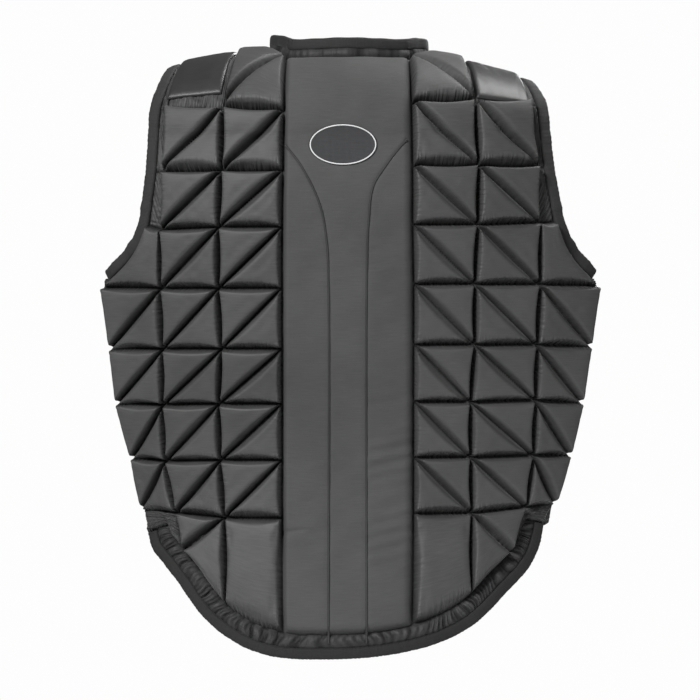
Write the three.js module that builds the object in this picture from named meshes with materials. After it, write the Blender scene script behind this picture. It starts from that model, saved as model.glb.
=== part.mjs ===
// Equestrian body protector, held up as worn. Millimetres, +Z up, the back faces -Y,
// the origin is midway between the shoulders at the height where the straps rest.
import * as THREE from "three";

// The body that the vest fits. Tables below hold shares of these four sizes.
const HALF_WIDTH = 223; // middle of the back to its edge under the arm
const DROP = 534; // shoulders down to the lowest edge of the tail
const BACK_DEPTH = 126; // origin back to the seams of the back at the chest
const FRONT_DEPTH = 119; // origin forward to the seams of the front at the chest

// Seams and foam.
const LINING = 4; // cloth and thin backing below the seam level
const FOAM = 13; // height of a full cell above the seam level
const FLAT = 1.4; // cloth over the seam level where there is no foam
const GAP = 0.6; // clearance between sewn pieces
const BINDING_WIDTH = 10; // visible width of the edge tape
const BINDING_THICK = 7.5;
const HEM_INSET = 22.6; // from the outer outline of the tail to the lower edge of the panels
const EDGE_ROUND = 0.3; // part of a cell over which the foam rises
const CELL_HEIGHT = { d: 1, p: 0.85, s: 0.4 }; // shares of FOAM: diagonal, plain and soft cells
const ARM_HOLLOW = 6; // how far the arm hole curves in above the arm pit
const ARM_ROW = 3; // row of the back where it does
const CORNER = 0.5; // part of the last column before its foot turns out over the end of the tape

// Shoulders: above `start` both sides of the shell lean over to the ridge at `ridgeY`.
const SHOULDER = { start: -0.116 * DROP, ridgeY: -0.048 * BACK_DEPTH };
const RIDGE = [
  // shares of HALF_WIDTH and DROP
  { x: -0.74, z: -0.002 },
  { x: -0.67, z: 0.0065 },
  { x: -0.45, z: 0.021 },
  { x: -0.27, z: 0.0262 },
  { x: 0, z: 0.0487 },
  { x: 0.27, z: 0.022 },
  { x: 0.45, z: 0.0075 },
  { x: 0.67, z: -0.0155 },
  { x: 0.74, z: -0.025 },
];

// The hull of the back and front at each height.
const HULL = [
  // z of DROP; left and right half width of HALF_WIDTH; depth of the back and how far its
  // edges bend forward, of BACK_DEPTH; depth of the front, of FRONT_DEPTH
  { z: -1.011, left: 0.879, right: 0.852, back: 0.98, bend: 0.35, front: 0.87 },
  { z: -0.861, left: 0.852, right: 0.825, back: 0.9, bend: 0.35, front: 0.86 },
  { z: -0.757, left: 0.834, right: 0.816, back: 0.84, bend: 0.35, front: 0.86 },
  { z: -0.667, left: 0.865, right: 0.874, back: 0.83, bend: 0.36, front: 0.87 },
  { z: -0.571, left: 0.933, right: 0.928, back: 0.87, bend: 0.37, front: 0.92 },
  { z: -0.479, left: 0.96, right: 0.96, back: 0.94, bend: 0.39, front: 0.97 },
  { z: -0.376, left: 0.996, right: 0.996, back: 0.98, bend: 0.41, front: 1 },
  { z: -0.262, left: 1, right: 1, back: 1, bend: 0.42, front: 0.96 },
  { z: -0.187, left: 1, right: 1, back: 0.98, bend: 0.42, front: 0.87 },
  { z: -0.116, left: 1, right: 1, back: 0.91, bend: 0.4, front: 0.77 },
  // never reached: it turns the curve upright where the shoulders start to lean
  { z: -0.045, left: 1, right: 1, back: 0.98, bend: 0.42, front: 0.87 },
];
const BACK_POWER = 2.3;
const SIDE_INSET = 17; // the side panels stay this far inside the outline of the back
const TUCK = { inside: 13, before: 5 }; // where they end behind the back's edge and its lining

// Rough centre line of the vest, which tells the outside of a sheet from its inside.
const CORE = { spread: 0.6, y: -6, z: -90, rise: 0.9 };

// Half of a level section of the front and side, from the middle of the front outwards.
const SECTION = [
  { x: 0, y: 1 },
  { x: 0.29, y: 0.985 },
  { x: 0.56, y: 0.9 },
  { x: 0.79, y: 0.7 },
  { x: 0.94, y: 0.38 },
  { x: 1, y: -0.04 },
];

// Quilt seams of the back, a row for each seam across: x of HALF_WIDTH and z of DROP where
// it meets the spine, the two seams down and the outer edge.
const SEAMS = ["spine", "inner", "outer", "edge"];
const BACK_LEFT = [
  { spine: [-0.258, 0.01], inner: [-0.444, 0.009], outer: [-0.662, -0.004], edge: [-0.682, -0.006] },
  { spine: [-0.262, -0.082], inner: [-0.504, -0.078], outer: [-0.739, -0.075], edge: [-0.762, -0.075] },
  { spine: [-0.266, -0.1825], inner: [-0.509, -0.1825], outer: [-0.751, -0.1825], edge: [-0.779, -0.1825] },
  { spine: [-0.27, -0.276], inner: [-0.52, -0.276], outer: [-0.755, -0.28], edge: [-0.807, -0.273] },
  { spine: [-0.27, -0.378], inner: [-0.52, -0.378], outer: [-0.751, -0.378], edge: [-0.993, -0.376] },
  { spine: [-0.27, -0.479], inner: [-0.509, -0.479], outer: [-0.743, -0.479], edge: [-0.957, -0.479] },
  { spine: [-0.27, -0.571], inner: [-0.52, -0.571], outer: [-0.743, -0.573], edge: [-0.932, -0.571] },
  { spine: [-0.27, -0.667], inner: [-0.513, -0.667], outer: [-0.733, -0.669], edge: [-0.868, -0.664] },
  { spine: [-0.27, -0.765], inner: [-0.496, -0.765], outer: [-0.69, -0.758], edge: [-0.827, -0.752] },
];
const BACK_RIGHT = [
  { spine: [0.238, 0.01], inner: [0.452, -0.002], outer: [0.668, -0.022], edge: [0.686, -0.024] },
  { spine: [0.246, -0.069], inner: [0.496, -0.069], outer: [0.726, -0.069], edge: [0.751, -0.069] },
  { spine: [0.25, -0.1745], inner: [0.509, -0.1745], outer: [0.755, -0.1745], edge: [0.779, -0.1745] },
  { spine: [0.25, -0.272], inner: [0.504, -0.272], outer: [0.755, -0.268], edge: [0.819, -0.267] },
  { spine: [0.254, -0.371], inner: [0.492, -0.371], outer: [0.751, -0.371], edge: [0.997, -0.374] },
  { spine: [0.254, -0.472], inner: [0.492, -0.472], outer: [0.739, -0.472], edge: [0.961, -0.475] },
  { spine: [0.254, -0.567], inner: [0.476, -0.568], outer: [0.735, -0.565], edge: [0.928, -0.57] },
  { spine: [0.254, -0.662], inner: [0.476, -0.662], outer: [0.726, -0.659], edge: [0.876, -0.659] },
  { spine: [0.254, -0.757], inner: [0.48, -0.757], outer: [0.698, -0.748], edge: [0.815, -0.742] },
];
const HEM_COLUMNS = {
  left: [-0.267, -0.492, -0.664],
  right: [0.247, 0.48, 0.641],
};
// Cells from the shoulder down: d has a diagonal seam, p is plain, f is flat, s is soft.
const BACK_CELLS = ["dff", "ddf", "ddf", "ddd", "ddd", "ddd", "ddd", "ddd", "pds"];
const NECK_COLUMN = 0.45; // part of the first column that the neck opening takes at the ridge
const NECK_CURVE = { back: 1.4, front: 2.6 }; // powers that round the neck opening

// Outer outline of the rounded tail, left to right.
const TAIL = [
  { x: -0.819, z: -0.788 },
  { x: -0.799, z: -0.817 },
  { x: -0.751, z: -0.843 },
  { x: -0.69, z: -0.875 },
  { x: -0.622, z: -0.915 },
  { x: -0.549, z: -0.947 },
  { x: -0.432, z: -0.979 },
  { x: -0.303, z: -0.996 },
  { x: -0.09, z: -1 },
  { x: 0.135, z: -0.994 },
  { x: 0.343, z: -0.975 },
  { x: 0.476, z: -0.949 },
  { x: 0.549, z: -0.925 },
  { x: 0.63, z: -0.89 },
  { x: 0.713, z: -0.854 },
  { x: 0.753, z: -0.826 },
  { x: 0.774, z: -0.799 },
  { x: 0.785, z: -0.773 },
];

// Front: columns by their place on the section, rows by height.
const FRONT_ROWS = [0, -0.139, -0.21, -0.288, -0.376, -0.478, -0.569, -0.663, -0.785];
const FRONT_EDGE = [2.8, 2.72, 2.66, 2.72, 3, 3, 3, 3, 3]; // arm hole, then the side seam
const FRONT_INNER = 0.16; // beside the zip
const NECK_SIDE = 0.341; // half width of the neck opening on the ridge, of HALF_WIDTH
const NECK_FRONT = -0.112; // lowest point of the neck opening, of DROP
const SIDE_TOP = [-0.363, -0.384, -0.38, -0.356]; // arm hole under the arm, front to back
const SIDE_ROWS = FRONT_ROWS.slice(5);

// Gathered strip and tape of the tail, and the front zip.
const HEM_ENDS = [0.008, 0.992]; // places along the outline of the tail
const HEM_STRIP = { rise: 2.4, back: 2, fold: 0.7, folds: 40 };
const HEM_TAPE_THICK = 6.5;
const ZIP = { rise: 1.2, teeth: 2.2, back: 2.5, top: 3 };

// Shoulder straps: ends in degrees from the ridge, and the angle where they reach the next seam.
const STRAP = { back: -62, front: 74, seam: 70, lift: FLAT + GAP, thick: 3, inset: 4 };
const PATCH = { x: -0.028, z: -0.133, width: 61, height: 34, thick: 1.6, gap: 0.9 };
const SPINE = { rise: 9, top: 0.0094, foot: -0.951, side: 0.04, end: 0.012, edge: 0.25 };
const PIPING = 1.5;
const PIPING_GAP = 0.35;
const PIPES = {
  left: [
    { x: -0.256, z: -0.144 },
    { x: -0.179, z: -0.187 },
    { x: -0.117, z: -0.243 },
    { x: -0.092, z: -0.301 },
    { x: -0.085, z: -0.375 },
    { x: -0.085, z: -0.946 },
  ],
  right: [
    { x: 0.226, z: -0.133 },
    { x: 0.152, z: -0.172 },
    { x: 0.093, z: -0.209 },
    { x: 0.073, z: -0.273 },
    { x: 0.066, z: -0.375 },
    { x: 0.066, z: -0.946 },
  ],
};

// Collar: stands inside the neck opening.
const COLLAR_HEIGHT = 9.5;
const COLLAR_THICK = 2.6;
const COLLAR_SINK = 3.5; // how far its foot is below the ridge at the sides of the neck
const COLLAR_FOLDS = 20;
const FOLD_DEPTH = 0.9;
const COLLAR_LEAN = 0.06;
const COLLAR_CENTRE = 4; // y of the middle of the neck opening
const NECK_BAND = { height: 8.5, thick: 5 };

// Sampling: half step of a slope, spread of the knots of a curve of normals, squareness of tapes.
const STEP = 0.004;
const NORMAL_SPREAD = 60;
const TAPE_POWER = 0.62;

const group = new THREE.Group();
const lerp = THREE.MathUtils.lerp;
const clamp = THREE.MathUtils.clamp;
const vec = (x, y, z) => new THREE.Vector3(x, y, z);

/** Value at `t` of a smooth curve through `values`, which stand one apart. */
function spline(values, t) {
  const last = values.length - 1;
  const i = clamp(Math.floor(t), 0, last - 1);
  const at = (k) => {
    if (k < 0) return 2 * values[0] - values[1];
    if (k > last) return 2 * values[last] - values[last - 1];
    return values[k];
  };
  const u = t - i;
  const [a, b, c, d] = [at(i - 1), at(i), at(i + 1), at(i + 2)];
  return b + 0.5 * u * (c - a + u * (2 * a - 5 * b + 4 * c - d + u * (3 * (b - c) + d - a)));
}

/** Row of a table at `key` = value: every other column, smoothly interpolated. */
function lookup(table, key, value) {
  const up = table[0][key] < table[table.length - 1][key];
  const rows = up ? table : [...table].reverse();
  let i = 0;
  while (i < rows.length - 2 && value > rows[i + 1][key]) i++;
  const t = i + clamp((value - rows[i][key]) / (rows[i + 1][key] - rows[i][key]), 0, 1);
  const out = {};
  for (const name of Object.keys(rows[0])) {
    if (name !== key) out[name] = spline(rows.map((r) => r[name]), t);
  }
  return out;
}

/** Table with each named column multiplied by its size. */
function sized(table, sizes) {
  return table.map((row) =>
    Object.fromEntries(Object.entries(row).map(([name, share]) => [name, share * sizes[name]])),
  );
}

const hullTable = sized(HULL, {
  z: DROP,
  left: HALF_WIDTH,
  right: HALF_WIDTH,
  back: BACK_DEPTH,
  bend: BACK_DEPTH,
  front: FRONT_DEPTH,
});
const ridgeTable = sized(RIDGE, { x: HALF_WIDTH, z: DROP });
const tailTable = sized(TAIL, { x: HALF_WIDTH, z: DROP });
const hull = (z) => lookup(hullTable, "z", z);
const ridge = (x) => lookup(ridgeTable, "x", x).z;

/** Lean of the shoulders: 1 below `start`, 0 on the ridge. */
function lean(x, z) {
  if (z <= SHOULDER.start) return 1;
  const e = clamp((z - SHOULDER.start) / (ridge(x) - SHOULDER.start), 0, 1);
  return Math.sqrt(1 - e * e);
}

/** Angle up the lean of the shoulders at height z, negative below it. */
const leanAngle = (z, reach) => {
  const part = (z - SHOULDER.start) / reach;
  return part < 0 ? part : Math.asin(Math.min(part, 1));
};
const leanHeight = (angle, reach) => SHOULDER.start + reach * (angle < 0 ? angle : Math.sin(angle));

/** Seam level of the back at x, z. */
function backPoint(x, z) {
  const h = hull(Math.min(z, SHOULDER.start));
  const half = x < 0 ? h.left : h.right;
  const flat = -h.back + h.bend * Math.pow(Math.abs(x) / half, BACK_POWER);
  return vec(x, SHOULDER.ridgeY + (flat - SHOULDER.ridgeY) * lean(x, z), z);
}

/** Seam level of the front and side: q counts section points from the middle of the front. */
function frontPoint(q, z, side) {
  const h = hull(Math.min(z, SHOULDER.start));
  const edge = side < 0 ? h.left : h.right;
  const half = edge - SIDE_INSET;
  const xs = SECTION.map((p) => p.x * half);
  const ys = SECTION.map((p) => p.y * h.front);
  const tuck = edge - TUCK.inside;
  xs.push(tuck);
  ys.push(backPoint(side * tuck, Math.min(z, SHOULDER.start)).y + LINING + TUCK.before);
  const x = side * spline(xs, q);
  const y = spline(ys, q);
  return vec(x, SHOULDER.ridgeY + (y - SHOULDER.ridgeY) * lean(x, z), z);
}

/** Place on the section whose x is `x`, above the side panels. */
function sectionAt(x, z) {
  let low = 0;
  let high = 4;
  for (let k = 0; k < 30; k++) {
    const mid = (low + high) / 2;
    if (Math.abs(frontPoint(mid, z, Math.sign(x) || 1).x) < Math.abs(x)) low = mid;
    else high = mid;
  }
  return low;
}

/** Point on a sheet lifted from the seam level along its outward side. */
function lifted(at, u, v, height, outward) {
  const p = at(u, v);
  const du = at(u + STEP, v).sub(at(u - STEP, v));
  const dv = at(u, v + STEP).sub(at(u, v - STEP));
  const n = du.cross(dv).normalize();
  if (n.dot(outward(p)) < 0) n.negate();
  return p.addScaledVector(n, height);
}

const fromAxis = (p) =>
  vec(p.x * CORE.spread, p.y - CORE.y, p.z > SHOULDER.start ? (p.z - CORE.z) * CORE.rise : 0);

/** Joins two rows of points that run the same way and share their ends' places. */
function zip(a, b, ta, tb, index) {
  let i = 0;
  let j = 0;
  while (i < a.length - 1 || j < b.length - 1) {
    const stepA = j === b.length - 1 || (i < a.length - 1 && ta[i + 1] <= tb[j + 1]);
    if (stepA) {
      index.push(a[i], a[i + 1], b[j]);
      i++;
    } else {
      index.push(a[i], b[j + 1], b[j]);
      j++;
    }
  }
}

/** Mesh from points and triangles, turned outwards. */
function solid(name, points, index) {
  let volume = 0;
  for (let i = 0; i < index.length; i += 3) {
    const [a, b, c] = [points[index[i]], points[index[i + 1]], points[index[i + 2]]];
    volume += a.dot(vec(0, 0, 0).crossVectors(b, c));
  }
  const tris = volume < 0 ? [...index].reverse() : index;
  const geometry = new THREE.BufferGeometry();
  const flat = points.flatMap((p) => [p.x, p.y, p.z]);
  geometry.setAttribute("position", new THREE.Float32BufferAttribute(flat, 3));
  geometry.setIndex(tris);
  const mesh = new THREE.Mesh(geometry, new THREE.MeshStandardMaterial({ color: 0x2a2b2e }));
  mesh.name = name;
  group.add(mesh);
  return mesh;
}

/**
 * Closed shell of a sheet: `outer(u, v)` over the lines `us`, `vs` and `inner(u, v)` over the
 * coarser `ius`, `ivs`. Squares are split from their low corner to their high corner.
 */
function shell(name, outer, inner, us, vs, ius = us, ivs = vs) {
  const points = [];
  const index = [];
  const grid = (at, a, b, up) => {
    const first = points.length;
    a.forEach((u) => b.forEach((v) => points.push(at(u, v))));
    const id = (i, j) => first + i * b.length + j;
    for (let i = 0; i < a.length - 1; i++) {
      for (let j = 0; j < b.length - 1; j++) {
        const [p, q, r, s] = [id(i, j), id(i + 1, j), id(i + 1, j + 1), id(i, j + 1)];
        if (up) index.push(p, q, r, p, r, s);
        else index.push(p, r, q, p, s, r);
      }
    }
    return id;
  };
  const o = grid(outer, us, vs, true);
  const n = grid(inner, ius, ivs, false);
  const row = (id, j, count) => Array.from({ length: count }, (_, i) => id(i, j));
  const column = (id, i, count) => Array.from({ length: count }, (_, j) => id(i, j));
  const lowU = [];
  zip(row(n, 0, ius.length), row(o, 0, us.length), ius, us, lowU);
  index.push(...lowU);
  const highU = [];
  zip(row(n, ivs.length - 1, ius.length), row(o, vs.length - 1, us.length), ius, us, highU);
  index.push(...highU.reverse());
  const lowV = [];
  zip(column(n, 0, ivs.length), column(o, 0, vs.length), ivs, vs, lowV);
  index.push(...lowV.reverse());
  const highV = [];
  zip(column(n, ius.length - 1, ivs.length), column(o, us.length - 1, vs.length), ivs, vs, highV);
  index.push(...highV);
  return solid(name, points, index);
}

/** Numbers from a to b in `count` steps. */
const steps = (a, b, count) => Array.from({ length: count + 1 }, (_, i) => lerp(a, b, i / count));

/** Grid lines of whole cells, close together beside the seams. */
function cellLines(count, parts) {
  const lines = [0];
  for (let c = 0; c < count; c++) parts.forEach((p) => lines.push(c + p));
  return lines;
}

const CELL_LINES = [0.15, 0.5, 0.85, 1];
const LINING_LINES = [0.5, 1];

const rise = (d) => Math.sqrt(1 - (1 - clamp(d / EDGE_ROUND, 0, 1)) ** 2);

/** Height of the cloth above the seams at u, v of a cell of the given kind. */
function foam(kind, u, v) {
  if (kind === "f") return FLAT * rise(Math.min(u, 1 - u, v, 1 - v));
  const across = rise(u) * rise(1 - u) * rise(v) * rise(1 - v);
  const diagonal = kind === "d" ? rise(Math.abs(u - v)) : 1;
  return FOAM * CELL_HEIGHT[kind] * across * diagonal;
}

/** Smooth curve through the outline of the tail; t runs 0 to 1 from left to right. */
const tailCurve = new THREE.CatmullRomCurve3(
  tailTable.map(({ x, z }) => vec(x, 0, z)),
  false,
  "centripetal",
);

/** Point of the tail `inset` inside its outline. */
function tailPoint(t, inset) {
  const p = tailCurve.getPoint(clamp(t, 0, 1));
  const d = tailCurve.getPoint(clamp(t + STEP, 0, 1)).sub(tailCurve.getPoint(clamp(t - STEP, 0, 1)));
  d.normalize();
  return { x: p.x - d.z * inset, z: p.z + d.x * inset };
}

/** Place on the tail whose inset point has the given x. */
function tailAt(x, inset) {
  let low = 0;
  let high = 1;
  for (let k = 0; k < 40; k++) {
    const mid = (low + high) / 2;
    if (tailPoint(mid, inset).x < x) low = mid;
    else high = mid;
  }
  return low;
}

/** Sheet of one half of the back: u counts columns from the spine, v counts rows down. */
function backSheet(side) {
  const table = side < 0 ? BACK_LEFT : BACK_RIGHT;
  const columns = side < 0 ? HEM_COLUMNS.left : HEM_COLUMNS.right;
  const ends = [...columns.map((x) => tailAt(x * HALF_WIDTH, HEM_INSET)), side < 0 ? 0 : 1];
  const last = table.length - 1;
  const alongFoot = (u) => {
    const i = clamp(Math.floor(u), 0, 2);
    const reach = i < 2 ? u - i : Math.min((u - i) / CORNER, 1);
    const over = i < 2 ? 0 : clamp((u - i - CORNER) / (1 - CORNER), 0, 1);
    return tailPoint(lerp(ends[i], ends[i + 1], reach), HEM_INSET * (1 - over));
  };
  const alongRow = (u, j) => {
    const i = clamp(Math.floor(u), 0, 2);
    const [a, b] = [table[j][SEAMS[i]], table[j][SEAMS[i + 1]]];
    return { x: lerp(a[0], b[0], u - i) * HALF_WIDTH, z: lerp(a[1], b[1], u - i) * DROP };
  };
  return (u, v) => {
    const j = clamp(Math.floor(v), 0, last);
    const w = v - j;
    const top = alongRow(u, j);
    const low = j === last ? alongFoot(u) : alongRow(u, j + 1);
    const hollow = j === ARM_ROW ? ARM_HOLLOW * Math.sin(Math.PI * w) * clamp(u - 2, 0, 1) : 0;
    const x = lerp(top.x, low.x, w) - side * hollow;
    if (j > 0) return backPoint(x, lerp(top.z, low.z, w));
    const reach = ridge(x) - SHOULDER.start;
    const neck = clamp(u / NECK_COLUMN, 0, 1);
    const topAngle = lerp(leanAngle(top.z, reach), Math.PI / 2, neck ** NECK_CURVE.back);
    return backPoint(x, leanHeight(lerp(topAngle, leanAngle(low.z, reach), w), reach));
  };
}

/** Sheet of one half of the front, u from the zip to the arm hole or side seam. */
function frontSheet(side) {
  const neckQ = sectionAt(side * NECK_SIDE * HALF_WIDTH, SHOULDER.start);
  const shoulder = (3 * (neckQ - FRONT_INNER)) / (FRONT_EDGE[0] - FRONT_INNER);
  return (u, v) => {
    const j = clamp(Math.floor(v), 0, FRONT_ROWS.length - 2);
    const w = v - j;
    const edge = lerp(FRONT_EDGE[j], FRONT_EDGE[j + 1], w);
    const q = FRONT_INNER + ((edge - FRONT_INNER) * u) / 3;
    if (j > 0) return frontPoint(q, lerp(FRONT_ROWS[j], FRONT_ROWS[j + 1], w) * DROP, side);
    const x = frontPoint(q, SHOULDER.start, side).x;
    const reach = ridge(x) - SHOULDER.start;
    const neck = clamp(u / shoulder, 0, 1);
    const top = lerp(NECK_FRONT * DROP, ridge(x), neck ** NECK_CURVE.front);
    const angle = lerp(leanAngle(top, reach), leanAngle(FRONT_ROWS[1] * DROP, reach), w);
    return frontPoint(q, leanHeight(angle, reach), side);
  };
}

/** Sheet of one side panel, u from the front seam to the edge of the back. */
function sideSheet(side) {
  return (u, v) => {
    const levels = [spline(SIDE_TOP, u), ...SIDE_ROWS];
    const j = clamp(Math.floor(v), 0, levels.length - 2);
    return frontPoint(3 + u, lerp(levels[j], levels[j + 1], v - j) * DROP, side);
  };
}

/** Keeps a sheet clear of its neighbours by drawing its edges in. */
function trimmed(at, maxU, maxV, trim) {
  const width = at(0, maxV / 2).distanceTo(at(maxU, maxV / 2));
  const height = at(maxU / 2, 0).distanceTo(at(maxU / 2, maxV));
  const du = (trim / width) * maxU;
  const dv = (trim / height) * maxV;
  return (u, v) => at(lerp(du, maxU - du, u / maxU), lerp(dv, maxV - dv, v / maxV));
}

/** Quilted panel over a sheet of whole cells. */
function quilt(name, sheet, columns, rows, kindOf) {
  const at = trimmed(sheet, columns, rows, GAP / 2);
  const outer = (u, v) => {
    const i = clamp(Math.floor(u - 1e-9), 0, columns - 1);
    const j = clamp(Math.floor(v - 1e-9), 0, rows - 1);
    return lifted(at, u, v, foam(kindOf(i, j), u - i, v - j), fromAxis);
  };
  const inner = (u, v) => lifted(at, u, v, -LINING, fromAxis);
  const [us, vs] = [cellLines(columns, CELL_LINES), cellLines(rows, CELL_LINES)];
  shell(name, outer, inner, us, vs, cellLines(columns, LINING_LINES), cellLines(rows, LINING_LINES));
}

for (const [name, side] of [["left", -1], ["right", 1]]) {
  quilt("back_quilt_" + name, backSheet(side), 3, 9, (i, j) => BACK_CELLS[j][i]);
  quilt("front_quilt_" + name, frontSheet(side), 3, 8, (i, j) => (j === 0 ? "f" : "d"));
  quilt("side_quilt_" + name, sideSheet(side), 3, 4, () => "d");
}

// Spine panel: flat, with rounded long edges, its foot on the gathered strip.
const spineEdge = (side, z) => {
  const table = side < 0 ? BACK_LEFT : BACK_RIGHT;
  const [foot] = side < 0 ? HEM_COLUMNS.left : HEM_COLUMNS.right;
  const rows = table.map(({ spine }) => ({ x: spine[0] * HALF_WIDTH, z: spine[1] * DROP }));
  rows.push({ x: foot * HALF_WIDTH, z: SPINE.foot * DROP });
  return lookup(rows, "z", z).x;
};
const spineAt = (u, v) => {
  const guess = lerp(SPINE.top, SPINE.foot, v) * DROP;
  const x = lerp(spineEdge(-1, guess) + GAP, spineEdge(1, guess) - GAP, u);
  const foot = tailPoint(tailAt(x, HEM_INSET), HEM_INSET).z + GAP;
  return backPoint(x, lerp(SPINE.top * DROP, foot, v));
};
const spineRise = (u, v) => {
  const side = rise((Math.min(u, 1 - u) / SPINE.side) * EDGE_ROUND);
  const end = rise((Math.min(v, 1 - v) / SPINE.end) * EDGE_ROUND);
  return SPINE.rise * side * lerp(SPINE.edge, 1, end);
};
const spineU = [0, 0.012, 0.04, 0.28, 0.5, 0.72, 0.96, 0.988, 1];
const spineV = [0, 0.004, 0.012, ...steps(0.04, 0.96, 16), 0.988, 0.996, 1];
shell(
  "spine_panel",
  (u, v) => lifted(spineAt, u, v, spineRise(u, v), fromAxis),
  (u, v) => lifted(spineAt, u, v, -LINING, fromAxis),
  spineU,
  spineV,
  [0, 0.5, 1],
  [0, ...steps(0.04, 0.96, 12), 1],
);

/** Rounded cross-section of a tape, `width` across and `thick` through. */
function tapeProfile(width, thick, corners = 8) {
  return Array.from({ length: corners }, (_, k) => {
    const a = ((k + 0.5) / corners) * 2 * Math.PI;
    const c = Math.cos(a);
    const s = Math.sin(a);
    return [
      (width / 2) * Math.sign(c) * Math.abs(c) ** TAPE_POWER,
      (thick / 2) * Math.sign(s) * Math.abs(s) ** TAPE_POWER,
    ];
  });
}

/** Sweep of a profile along points; `normals` give its thick direction. */
function sweep(name, path, normals, profile, closed) {
  const count = path.length;
  const points = [];
  const index = [];
  path.forEach((p, i) => {
    const before = path[closed ? (i + count - 1) % count : Math.max(i - 1, 0)];
    const after = path[closed ? (i + 1) % count : Math.min(i + 1, count - 1)];
    const t = after.clone().sub(before).normalize();
    const n = normals[i].clone().addScaledVector(t, -normals[i].dot(t)).normalize();
    const b = t.clone().cross(n);
    profile.forEach(([w, h]) => points.push(p.clone().addScaledVector(b, w).addScaledVector(n, h)));
  });
  const m = profile.length;
  const rings = closed ? count : count - 1;
  for (let i = 0; i < rings; i++) {
    const next = (i + 1) % count;
    for (let k = 0; k < m; k++) {
      const l = (k + 1) % m;
      index.push(i * m + k, next * m + k, next * m + l, i * m + k, next * m + l, i * m + l);
    }
  }
  if (!closed) {
    const end = (count - 1) * m;
    for (let k = 1; k < m - 1; k++) {
      index.push(0, k, k + 1);
      index.push(end, end + k + 1, end + k);
    }
  }
  return solid(name, points, index);
}

/** Points and normals beside an edge of a sheet, `away` outside it. */
function beside(at, edge, params, away, height) {
  const point = (t) => lifted(at, ...edge(t).slice(0, 2), height, fromAxis);
  return params.map((t) => {
    const [u, v, iu, iv] = edge(t);
    const p = point(t);
    const along = point(t + 0.02).sub(point(t - 0.02)).normalize();
    const out = p.clone().sub(lifted(at, iu, iv, height, fromAxis));
    out.addScaledVector(along, -out.dot(along)).normalize();
    const top = lifted(at, u, v, height + 1, fromAxis);
    return { p: p.clone().addScaledVector(out, away), n: top.sub(p).normalize() };
  });
}

/** Evenly spaced points of a smooth curve through marks, with their normals. */
function smoothPath(marks, count, closed) {
  const curve = new THREE.CatmullRomCurve3(marks.map((m) => m.p), closed, "centripetal");
  const lift = new THREE.CatmullRomCurve3(marks.map((m) => m.n.clone().multiplyScalar(NORMAL_SPREAD)), closed);
  const path = [];
  const normals = [];
  const total = closed ? count : count - 1;
  for (let i = 0; i < count; i++) {
    const t = curve.getUtoTmapping(i / total);
    path.push(curve.getPoint(t));
    normals.push(lift.getPoint(t).normalize());
  }
  return { path, normals };
}

// Arm hole tape: up the back, over the shoulder, down the front, and under the arm.
const tapeAway = BINDING_WIDTH / 2 + GAP;
const tapeLift = (FLAT - LINING) / 2;
for (const [name, side] of [["left", -1], ["right", 1]]) {
  const back = backSheet(side);
  const front = frontSheet(side);
  const flank = sideSheet(side);
  const up = beside(back, (t) => [3, t, 2.9, t], [3.78, 3.5, 3.1, 2.6, 2, 1.5, 1, 0.6, 0.3, 0.08], tapeAway, tapeLift);
  const down = beside(front, (t) => [3, t, 2.9, t], [0.12, 0.4, 0.8, 1.2, 1.7, 2.2, 3, 3.6], tapeAway + GAP, tapeLift);
  const under = beside(flank, (t) => [t, 0, t, 0.12], [0.35, 1, 1.7, 2.3, 2.7], tapeAway + 1.5 * GAP, tapeLift);
  const { path, normals } = smoothPath([...up, ...down, ...under], 42, true);
  sweep("armhole_binding_" + name, path, normals, tapeProfile(BINDING_WIDTH, BINDING_THICK), true);
}

// Tail: gathered strip and tape.
const stripAt = (u, v) => {
  const p = tailPoint(u, lerp(HEM_INSET - 2 * GAP, BINDING_WIDTH + GAP / 2, v));
  return backPoint(p.x, p.z);
};
const gather = (u) => Math.cos(u * 2 * Math.PI * HEM_STRIP.folds) * HEM_STRIP.fold;
shell(
  "hem_gather",
  (u, v) => lifted(stripAt, u, v, HEM_STRIP.rise + gather(u) * Math.sin(Math.PI * clamp(v, 0.1, 0.9)), fromAxis),
  (u, v) => lifted(stripAt, u, v, -HEM_STRIP.back, fromAxis),
  steps(...HEM_ENDS, 96),
  [0, 0.5, 1],
  steps(...HEM_ENDS, 48),
  [0, 1],
);
const tailMarks = steps(...HEM_ENDS, 40).map((t) => {
  const p = tailPoint(t, BINDING_WIDTH / 2);
  const at = (u, v) => backPoint(u, v);
  const low = lifted(at, p.x, p.z, 0, fromAxis);
  const high = lifted(at, p.x, p.z, 1, fromAxis);
  return { p: low, n: high.clone().sub(low).normalize() };
});
const tail = smoothPath(tailMarks, 40, false);
sweep("hem_binding", tail.path, tail.normals, tapeProfile(BINDING_WIDTH, HEM_TAPE_THICK), false);

// Front hem tape, one length each side of the zip.
for (const [name, side] of [["left", -1], ["right", 1]]) {
  const low = FRONT_ROWS[FRONT_ROWS.length - 1] * DROP - (BINDING_WIDTH + GAP) / 2;
  const marks = steps(FRONT_INNER + 0.03, 5.9, 24).map((q) => {
    const p = frontPoint(q, low, side);
    const a = frontPoint(q + 0.01, low, side);
    const n = a.sub(p).cross(vec(0, 0, 1)).normalize();
    if (n.dot(fromAxis(p)) < 0) n.negate();
    p.addScaledVector(n, tapeLift);
    return { p, n };
  });
  const { path, normals } = smoothPath(marks, 18, false);
  sweep("front_hem_binding_" + name, path, normals, tapeProfile(BINDING_WIDTH, BINDING_THICK), false);
}

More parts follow.
